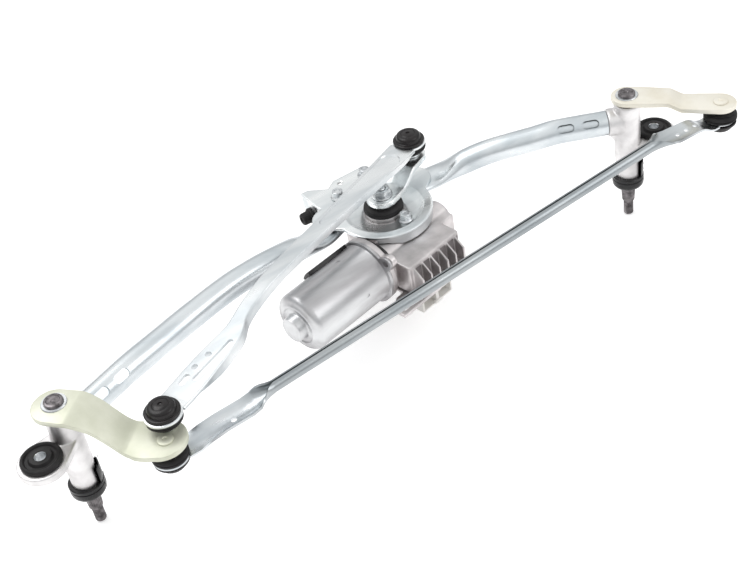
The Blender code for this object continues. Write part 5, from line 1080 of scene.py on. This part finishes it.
def flange_relief():
    """Room for the can flange and the worm tunnel, in the motor's axes."""
    ob = turned([(0.0, CAN_FRONT - 0.002)] + mm(CAN_FRONT, (3.6, -2.0), (3.6, 5.6), r=CAN_R)
                + mm(CAN_FRONT, (16.2, 13.8), (14.1, 16.0)) + [(0.0141, 0.0450), (0.0, 0.0450)])
    return lay(ob, ARMATURE)


def make_can(sizes):
    """Deep-drawn motor can: bearing boss, rounded shoulder, rolled rim, ears and windows."""
    r, w, z0, z1 = CAN_R, 0.0014, CAN_REAR, CAN_FRONT
    boss = 0.0102
    bend = 0.0050
    shoulder = [(r - bend + bend * sin(a), z0 + 0.0130 - bend * cos(a)) for a in np.linspace(0.15, pi / 2, 8)]
    points = mm(z0, (0, 0.3), (5.2, 0.2), (6.0, 0))
    points += mm(z0, (-1.2, 0), (-0.4, 0.4), (0, 1.4), (0, 6.6), (0.5, 7.6), (1.2, 8.0), (4.0, 8.0), (4.7, 7.6),
                 (5.2, 6.8), (5.8, 6.6), r=boss)
    points += mm(z0, (-6.6, 6.6), (-6.0, 7.0), r=r) + shoulder + [(r, z0 + 0.0150)]
    points += mm(z1, (0, -3.6), (0.6, -2.6), (3.0, -2.2), (3.0, 0), r=r) + [(r - w, z1), (r - w, z0 + 0.0150)]
    points += [(r - w - 0.0012, z0 + 0.0114), (r - 0.0066, z0 + 0.0094), (boss - w, z0 + 0.0094),
               (boss - w, z0 + w + 0.0012), (0.0, z0 + w + 0.0010)]
    ob = turned(points, sizes.can_steps)
    for a in (EAR_TURN, EAR_TURN + pi):
        ear = blank(two_circles(0.0, EAR_REACH, 0.0110, 0.0052), z1 - 0.0022, z1, 0.0004)
        cut(ear, rod(r + 0.0015, z1 - 0.01, z1 + 0.01, 0, 0, 96), rod(0.0024, z1 - 0.01, z1 + 0.01, EAR_REACH, 0))
        join(ob, lay(ear, spin(a)))
    window = block(-0.0045, 0.0045, -0.030, -0.010, z1 - 0.0160, z1 - 0.0110, 0.0008)
    cut(ob, lay(window, spin(2.2)))
    for a in (pi / 2, -pi / 2, pi, 0.0):
        dent = rod(0.0016, r - 0.0006, r + 0.004, 0, 0, 32)
        cut(ob, lay(dent, spin(EAR_TURN + a + 0.5) @ shift(0, 0, z1 - 0.0240) @ spin(pi / 2, "Y")))
    on_axis(ob)
    dress(ob, "drawn_motor_can", "can", "frame", "motor_can", angle=38)


def lug_place(k):
    """A screw's place in the motor's axes."""
    x, y = SCREWS[k]
    return spin(-MOTOR_TURN) @ Vector((x, y, 0.0))


def make_gear_case(sizes):
    """Die-cast gear case: drum, worm tunnel, can flange, ribbed side bay and screw lugs, with a dark block of
    painted shade at the back of the fin pockets.
    """
    low, top = GEAR_LOW, GEAR_TOP
    s0, s1, t0, t1 = BAY
    body = rod(DRUM_R, low, top, 0, 0, 128, 0.0012)
    tunnel = turned([(0.0, CAN_FRONT + 0.004), (0.0135, CAN_FRONT + 0.004), (0.0135, 0.0345), (0.0120, 0.0365),
                     (0.0, 0.0365)], 72)
    edge = CAN_R + 0.0028
    flange = turned([(0.0, CAN_FRONT + GAP), (edge, CAN_FRONT + GAP), (edge, CAN_FRONT + 0.0050)]
                    + mm(CAN_FRONT, (15.0, 13.0), (0, 13.0)))
    solids = [body]
    for a in (EAR_TURN, EAR_TURN + pi):
        ear = blank(two_circles(0.0, EAR_REACH, 0.0110, 0.0052), CAN_FRONT + GAP, CAN_FRONT + 0.0055)
        solids.append(lay(ear, ARMATURE @ spin(a)))
    solids += [lay(tunnel, ARMATURE), lay(flange, ARMATURE)]
    solids.append(block(s0, s1, t0, t1 + 0.012, low, 0.0655, 0.0012))
    solids.append(block(-0.030, 0.0335, -0.0425, -0.0120, low, 0.0655, 0.0010))
    solids.append(rod(BOSS_R, top - 0.002, BOSS_TOP, 0, 0, 96, 0.0008))
    for k in (1, 2):
        at = lug_place(k)
        lug = blank(two_circles(0.0, at.length, 0.0180, 0.0078), top - 0.020, top - 0.0006)
        solids.append(lay(lug, spin(atan2(at.y, at.x))))
        solids.append(rod(0.0072, top - 0.0100, DECKS[k] - PLATE_T - GAP, at.x, at.y))
    for k in range(FIN_COUNT):
        rib = blank([(t0 + 0.001, 0.0645), (t0 - FIN_REACH, 0.0560), (t0 - FIN_REACH, low + 0.0030),
                     (t0 + 0.001, low + 0.0010)], -0.0009, 0.0009)
        across = Matrix(((0, 0, 1, s0 + 0.0050 + k * FIN_PITCH), (1, 0, 0, 0), (0, 1, 0, 0), (0, 0, 0, 1)))
        solids.append(lay(rib, across))
    solids.append(block(s0 + 0.002, s1 - 0.001, t0 - FIN_REACH + 0.0005, t0 + 0.001, low, low + 0.0030))
    # Painted shade: a thin dark block on the back wall of the fin pockets darkens them where shade falls.
    skin = block(s0 + 0.0052, s1 - 0.0016, t0 - 0.0003, t0 + 0.0010, low + 0.0034, 0.0618)
    dress(on_motor(skin), "fin_pocket_painted_shade", "case_painted_shade", "frame")
    cast_skin(solids, sizes.voxel, sizes.easing,
              [lay(rod(0.0100, CAN_FRONT - 0.01, CAN_FRONT + 0.006), ARMATURE), rod(0.0078, 0.0655, 0.10),
               rod(0.0036, 0.0674 - GAP, 0.10, lug_place(0).x, lug_place(0).y)])
    cut(body, lay(rod(0.0062, CAN_FRONT + 0.004, 0.0335), ARMATURE), rod(0.0205, low - 0.01, 0.0620, 0, 0, 96),
        rod(0.0058, 0.0600, 0.0680))
    on_motor(body)
    dress(body, "cast_gear_case", "case", "frame", "gear_housing", angle=60)


def make_cover(sizes):
    """Cast bottom cover with its pan, plug lug and locating holes."""
    s0, s1, t0, _ = BAY
    top = GEAR_LOW - GAP
    low = top - 0.0070
    solids = [rod(DRUM_R + 0.0010, top - 0.0030, top, 0, 0, 128, 0.0006),
              rod(DRUM_R - 0.0060, low, top - 0.0020, 0, 0, 96, 0.0012),
              block(s0 - 0.001, s1 + 0.001, t0 - 0.0010, -0.0200, top - 0.0030, top),
              block(s0 + 0.004, s1 - 0.004, t0 + 0.003, -0.0240, low, top - 0.0020, 0.0010),
              blank([(-0.058, -0.070), (-0.016, -0.070), (-0.010, -0.060), (-0.010, -0.050), (-0.046, -0.050),
                     (-0.058, -0.058)], top - 0.0030, top)]
    holes = [put(oblong(0.0080, 0.0022, low - 0.01, top + 0.01), -0.050, -0.0640),
             rod(0.0032, low - 0.01, top + 0.01, -0.036, -0.0650),
             rod(0.0022, low - 0.01, top + 0.01, -0.021, -0.0655)]
    for k in range(5):
        y = -0.052 + k * 0.0065
        holes.append(block(0.004, 0.014, y, y + 0.0022, low - 0.001, low + 0.0012))
    body = cast_skin(solids, sizes.voxel, PRESSING_PASSES, holes, [flange_relief()])
    on_motor(body)
    dress(body, "cast_bottom_cover", "case", "frame", "gear_cover", angle=60)


def make_gap_painted_shade():
    """Black rubber band on part of the cone between the can's flange and the gear case, under the bracket's rim:
    painted shade that darkens the gap where it shows.
    """
    section = mm(CAN_FRONT, (26.3, 5.9), (16.8, 13.6), (15.0, 12.0), (24.0, 4.8))
    # Painted shade: the band covers only part of the cone's circle.
    ways = arc(1.0, radians(150), radians(246), 40)
    ob = skin_rings([[(r * x, r * y, h) for r, h in section] for x, y in ways])
    dress(on_axis(ob), "flange_cone_painted_shade", "rubber", "frame", angle=40)


def make_connector():
    """Two-bay cable socket with its contact blades and latch."""
    top = GEAR_LOW - 0.0073 - GAP
    body = block(-0.0330, 0.0010, -0.0640, -0.0400, top - 0.0120, top, 0.0010)
    for s0, s1 in ((-0.0310, -0.0175), (-0.0145, -0.0010)):
        cut(body, block(s0, s1, -0.0700, -0.0440, top - 0.0102, top - 0.0020, 0.0005))
    join(body, block(-0.0200, -0.0120, -0.0655, -0.0630, top - 0.0112, top - 0.0085, 0.0004))
    on_motor(body)
    dress(body, "cable_socket", "acetal", "frame", "connector")
    blades = None
    for centre in (-0.02425, -0.00775):
        for off in (-0.0042, 0.0, 0.0042):
            s = centre + off
            blade = block(s - 0.0009, s + 0.0009, -0.0560, -0.0438, top - 0.0065, top - 0.0058, 0.00015)
            blades = blade if blades is None else join(blades, blade)
    on_motor(blades)
    dress(blades, "socket_blades", "steel", "frame")


def make_strip():
    """Moulded strip that carries the motor leads along the can."""
    r = CAN_R + GAP
    spread = radians(14)
    ob = blank(arc(r + 0.0030, -spread, spread, 16) + arc(r, spread, -spread, 16),
               -0.0920, CAN_FRONT - 0.0040, 0.0005)
    for k in range(4):
        z = -0.0850 + k * 0.0085
        cut(ob, block(r + 0.0018, r + 0.006, -0.0036, 0.0036, z, z + 0.0052))
    lay(ob, spin(radians(180 - 52)))
    on_axis(ob)
    dress(ob, "lead_cover", "nylon", "frame", "lead_strip", angle=35)


INNER = {"bronze": ("left_lower_bush", "left_upper_bush", "right_lower_bush", "right_upper_bush", "can_bearing",
                    "output_bush"),
         "ferrite": ("upper_magnet", "lower_magnet"),
         "copper": ("commutator",),
         "core": ("armature_core",),
         "acetal": ("worm_wheel",),
         "nylon": ("brush_card",),
         "steel": ("armature_shaft", "left_retaining_clip", "right_retaining_clip")}


def finish_inner_nodes():
    """Gives each solid that stays as it is the finish of the real piece."""
    for key, names in INNER.items():
        for name in names:
            ob = frame["nodes"][name]
            ob.data.materials.clear()
            ob.data.materials.append(finish_of(key))


# Settings

class WiperSizes(bpy.types.PropertyGroup):
    """Sizes of the fine forms that a user may change."""
    edge: FloatProperty(name="Blanked edge", description="Radius on the rims of the levers", default=0.0006,
                        min=0.0001, max=0.0015, unit="LENGTH", precision=5)
    emboss: FloatProperty(name="Emboss depth", description="Depth of the panel pressed into the drive rod",
                          default=0.0009, min=0.0, max=0.0015, unit="LENGTH", precision=5)
    dimple: FloatProperty(name="Cap dimple", description="Depth of the moulded dimple on each ball cap",
                          default=0.0010, min=0.0, max=0.0014, unit="LENGTH", precision=5)
    boot_bulge: FloatProperty(name="Boot groove", description="Depth of the grooves round each dust boot",
                              default=0.0007, min=0.0, max=0.0012, unit="LENGTH", precision=5)
    serration: FloatProperty(name="Serration depth", description="Depth of the teeth on the shaft cones",
                             default=0.00035, min=0.0, max=0.0006, unit="LENGTH", precision=5)
    voxel: FloatProperty(name="Casting detail", description="Cell size of the remeshed castings and pressings",
                         default=0.0006, min=0.0004, max=0.002, unit="LENGTH", precision=5)
    easing: IntProperty(name="Casting easing", description="Smoothing passes that round a casting's corners",
                        default=6, min=0, max=20)
    tube_steps: IntProperty(name="Tube facets", description="Points round the frame tubes", default=48,
                            min=16, max=96)
    can_steps: IntProperty(name="Can facets", description="Points round the motor can", default=144,
                           min=48, max=256)


class WiperStage(bpy.types.PropertyGroup):
    """Camera, floor and lights."""
    camera_at: FloatVectorProperty(name="Camera place", description="Where the camera stands", size=3,
                                   default=(-0.36615, -0.69980, 0.70662), subtype="TRANSLATION", unit="LENGTH")
    yaw: FloatProperty(name="Yaw", description="Turn of the view from straight along Y", default=radians(28.0),
                       subtype="ANGLE")
    pitch: FloatProperty(name="Pitch", description="How far the view looks down", default=radians(39.913),
                         subtype="ANGLE")
    roll: FloatProperty(name="Roll", description="Turn of the picture about the view", default=radians(-10.181),
                        subtype="ANGLE")
    lens: FloatProperty(name="Lens", description="Focal length in millimetres", default=63.937,
                        min=20.0, max=200.0)
    key: FloatProperty(name="Key light", description="Power of the large overhead softbox in watts", default=7.0)
    fill: FloatProperty(name="Fill light", description="Power of the front softbox in watts", default=3.0)
    ambient: FloatProperty(name="Ambient", description="Even light of the white room", default=0.74,
                           min=0.0, max=2.0)
    floor: FloatVectorProperty(name="Floor colour", description="Colour of the pale floor", size=3,
                               default=(0.86, 0.86, 0.86), subtype="COLOR", min=0.0, max=1.0)


FLOOR_GLOW = 0.45
LIT_POINT = Vector((0.0, 0.0, 0.05))


def light(name, place, size, power):
    """A softbox that shines on the middle of the linkage."""
    lamp = bpy.data.lights.new(name, "AREA")
    lamp.shape = "RECTANGLE"
    lamp.size, lamp.size_y = size
    lamp.energy = power
    ob = bpy.data.objects.new(name, lamp)
    bpy.context.scene.collection.objects.link(ob)
    ob.location = place
    ob.rotation_mode = "QUATERNION"
    ob.rotation_quaternion = (LIT_POINT - Vector(place)).to_track_quat("-Z", "Y")
    return ob


def make_floor(colour):
    """Pale floor that keeps the object's shadow and reads as white to the camera."""
    bm = bmesh.new()
    bmesh.ops.create_grid(bm, x_segments=1, y_segments=1, size=6.0)
    floor = put(to_piece(bm, "studio_floor", False), 0.0, 0.0, -0.0005)
    mat, tree, shader, _ = new_material("matt white floor", "EEEEEE", 0.0, 0.9)
    shader.inputs["Base Color"].default_value = (*colour, 1.0)
    shader.inputs["Specular IOR Level"].default_value = 0.0
    path = add(tree, "ShaderNodeLightPath").outputs
    seen = add(tree, "ShaderNodeMath", [(0, path["Is Camera Ray"]), (1, path["Is Glossy Ray"])], operation="MAXIMUM")
    seen = add(tree, "ShaderNodeMath", [(0, seen.outputs[0]), (1, path["Is Transmission Ray"])], operation="MAXIMUM")
    glow = add(tree, "ShaderNodeMath", [(0, seen.outputs[0])], operation="MULTIPLY")
    glow.inputs[1].default_value = FLOOR_GLOW
    shader.inputs["Emission Color"].default_value = (1.0, 1.0, 1.0, 1.0)
    tree.links.new(shader.inputs["Emission Strength"], glow.outputs[0])
    floor.data.materials.append(mat)


def make_world(ambient):
    """White room: even light, and a soft change from white to grey that only reflections see."""
    world = bpy.data.worlds.new("white room")
    bpy.context.scene.world = world
    world.use_nodes = True
    tree = world.node_tree
    back = tree.nodes["Background"]
    path = add(tree, "ShaderNodeLightPath").outputs
    seen = add(tree, "ShaderNodeMath", [(0, path["Is Camera Ray"]), (1, path["Is Transmission Ray"])],
               operation="MAXIMUM")
    way = add(tree, "ShaderNodeTexCoord").outputs["Generated"]
    split = add(tree, "ShaderNodeSeparateXYZ", [("Vector", way)])
    grey, white = (0.36, 0.365, 0.375, 1.0), (0.97, 0.98, 0.98, 1.0)
    room = add(tree, "ShaderNodeValToRGB", [("Fac", split.outputs["Z"])], ((0.02, grey), (0.55, white)))
    shine = add(tree, "ShaderNodeMixRGB", [("Fac", path["Is Glossy Ray"]), ("Color2", room.outputs["Color"])],
                Color1=(ambient, ambient, ambient, 1.0))
    final = add(tree, "ShaderNodeMixRGB", [("Fac", seen.outputs[0]), ("Color1", shine.outputs["Color"])],
                Color2=(1.0, 1.0, 1.0, 1.0))
    tree.links.new(back.inputs["Color"], final.outputs["Color"])
    back.inputs["Strength"].default_value = 1.0


def make_camera(stage):
    """The photograph's view."""
    data = bpy.data.cameras.new("camera")
    data.lens = stage.lens
    data.sensor_width = SENSOR_MM
    data.clip_start = 0.01
    ob = bpy.data.objects.new("camera", data)
    bpy.context.scene.collection.objects.link(ob)
    turn = spin(-stage.yaw) @ spin(pi / 2 - stage.pitch, "X")
    ob.matrix_world = Matrix.Translation(stage.camera_at) @ turn @ spin(stage.roll)
    bpy.context.scene.camera = ob


# Operators

class WIPER_OT_stage(bpy.types.Operator):
    """White floor, white room, two softboxes and the camera"""
    bl_idname = "wiper.stage"
    bl_label = "Stage"

    def execute(self, context):
        stage = context.scene.wiper_stage
        context.scene.view_settings.view_transform = "Standard"
        make_world(stage.ambient)
        make_floor(stage.floor)
        light("key softbox", (-0.5, 0.55, 1.3), (1.1, 0.8), stage.key)
        light("fill softbox", (0.75, -0.9, 0.8), (0.8, 0.8), stage.fill)
        make_camera(stage)
        return {"FINISHED"}


class WIPER_OT_pivots(bpy.types.Operator):
    """Both pivots: shaft, housing, grommet, sleeve, collar and washer"""
    bl_idname = "wiper.pivots"
    bl_label = "Pivots"

    def execute(self, context):
        sizes = context.scene.wiper_sizes
        for side in ("left", "right"):
            make_shaft(side, sizes)
            make_housing(side, sizes)
            make_grommet(side)
            make_collar(side)
            make_washer(side)
        return {"FINISHED"}


class WIPER_OT_levers(bpy.types.Operator):
    """The two cranked levers"""
    bl_idname = "wiper.levers"
    bl_label = "Levers"

    def execute(self, context):
        sizes = context.scene.wiper_sizes
        make_left_lever(sizes)
        make_right_lever(sizes)
        return {"FINISHED"}


class WIPER_OT_ball_joints(bpy.types.Operator):
    """Four ball joints: stud, cap and dust boot"""
    bl_idname = "wiper.ball_joints"
    bl_label = "Ball joints"

    def execute(self, context):
        sizes = context.scene.wiper_sizes
        shank = ARM_T + 2 * GAP
        make_stud("lever_drive_ball", "left_drive_stud", DRIVE_LEFT, LEFT_FLAT + GAP, False, "left_lever", shank)
        under = ARM_T + GAP
        make_stud("left_link_ball", "left_link_stud", LINK_LEFT, LEFT_FLAT - under, True, "left_lever", shank)
        make_stud("right_link_ball", "right_link_stud", LINK_RIGHT, RIGHT_FLAT - under, True, "right_lever", shank)
        make_stud("crank_ball", "crank_ball_stud", PIN, CRANK_TOP + GAP, False, "drive_rod", 0.0)
        for name, at, z, down, body in (
                ("drive_rod_lever", DRIVE_LEFT, DRIVE_BALL_Z, False, "drive_rod"),
                ("drive_rod_crank", PIN, PIN_BALL_Z, False, "drive_rod"),
                ("coupling_rod_left", LINK_LEFT, LINK_BALL_LEFT, True, "coupling_rod"),
                ("coupling_rod_right", LINK_RIGHT, LINK_BALL_RIGHT, True, "coupling_rod")):
            make_cap(name + "_cap", name + "_cup", at, z, down, body, sizes)
            make_boot(name + "_dust_boot", name + "_boot", at, z, down, body, sizes)
        return {"FINISHED"}


class WIPER_OT_rods(bpy.types.Operator):
    """The drive rod and the coupling rod"""
    bl_idname = "wiper.rods"
    bl_label = "Rods"

    def execute(self, context):
        sizes = context.scene.wiper_sizes
        make_drive_rod(sizes)
        make_coupling_rod()
        return {"FINISHED"}


class WIPER_OT_crank(bpy.types.Operator):
    """Crank arm, rivet, nut, output shaft and seal"""
    bl_idname = "wiper.crank"
    bl_label = "Crank"

    def execute(self, context):
        make_crank()
        make_seal()
        return {"FINISHED"}


class WIPER_OT_frame(bpy.types.Operator):
    """Frame tubes, bracket, locating plug and screws"""
    bl_idname = "wiper.frame"
    bl_label = "Tube frame"

    def execute(self, context):
        sizes = context.scene.wiper_sizes
        for side in ("left", "right"):
            make_tube(side, sizes)
        make_bracket(sizes)
        make_plug()
        for k in range(3):
            make_screw(k)
        return {"FINISHED"}


class WIPER_OT_motor(bpy.types.Operator):
    """Motor can, gear case, cover, cable socket and lead strip"""
    bl_idname = "wiper.motor"
    bl_label = "Motor"

    def execute(self, context):
        sizes = context.scene.wiper_sizes
        make_can(sizes)
        make_gear_case(sizes)
        make_cover(sizes)
        make_gap_painted_shade()
        make_connector()
        make_strip()
        finish_inner_nodes()
        return {"FINISHED"}


class WIPER_PT_panel(bpy.types.Panel):
    """Sidebar list of the linkage's pieces and sizes"""
    bl_label = "Wiper linkage"
    bl_idname = "WIPER_PT_panel"
    bl_space_type = "VIEW_3D"
    bl_region_type = "UI"
    bl_category = "Wiper linkage"

    def draw(self, context):
        for settings in (context.scene.wiper_sizes, context.scene.wiper_stage):
            for name in settings.__annotations__:
                self.layout.prop(settings, name)
        for operator in OPERATORS:
            self.layout.operator(operator.bl_idname)


OPERATORS = (WIPER_OT_stage, WIPER_OT_pivots, WIPER_OT_levers, WIPER_OT_ball_joints, WIPER_OT_rods, WIPER_OT_crank,
             WIPER_OT_frame, WIPER_OT_motor)
CLASSES = (WiperSizes, WiperStage) + OPERATORS + (WIPER_PT_panel,)


def register():
    for kind in CLASSES:
        bpy.utils.register_class(kind)
    bpy.types.Scene.wiper_sizes = PointerProperty(type=WiperSizes)
    bpy.types.Scene.wiper_stage = PointerProperty(type=WiperStage)


def unregister():
    del bpy.types.Scene.wiper_stage
    del bpy.types.Scene.wiper_sizes
    for kind in reversed(CLASSES):
        bpy.utils.unregister_class(kind)


def main():
    register()
    bpy.ops.wiper.stage()
    bpy.ops.wiper.pivots()
    bpy.ops.wiper.levers()
    bpy.ops.wiper.ball_joints()
    bpy.ops.wiper.rods()
    bpy.ops.wiper.crank()
    bpy.ops.wiper.frame()
    bpy.ops.wiper.motor()


if __name__ == "__main__":
    main()
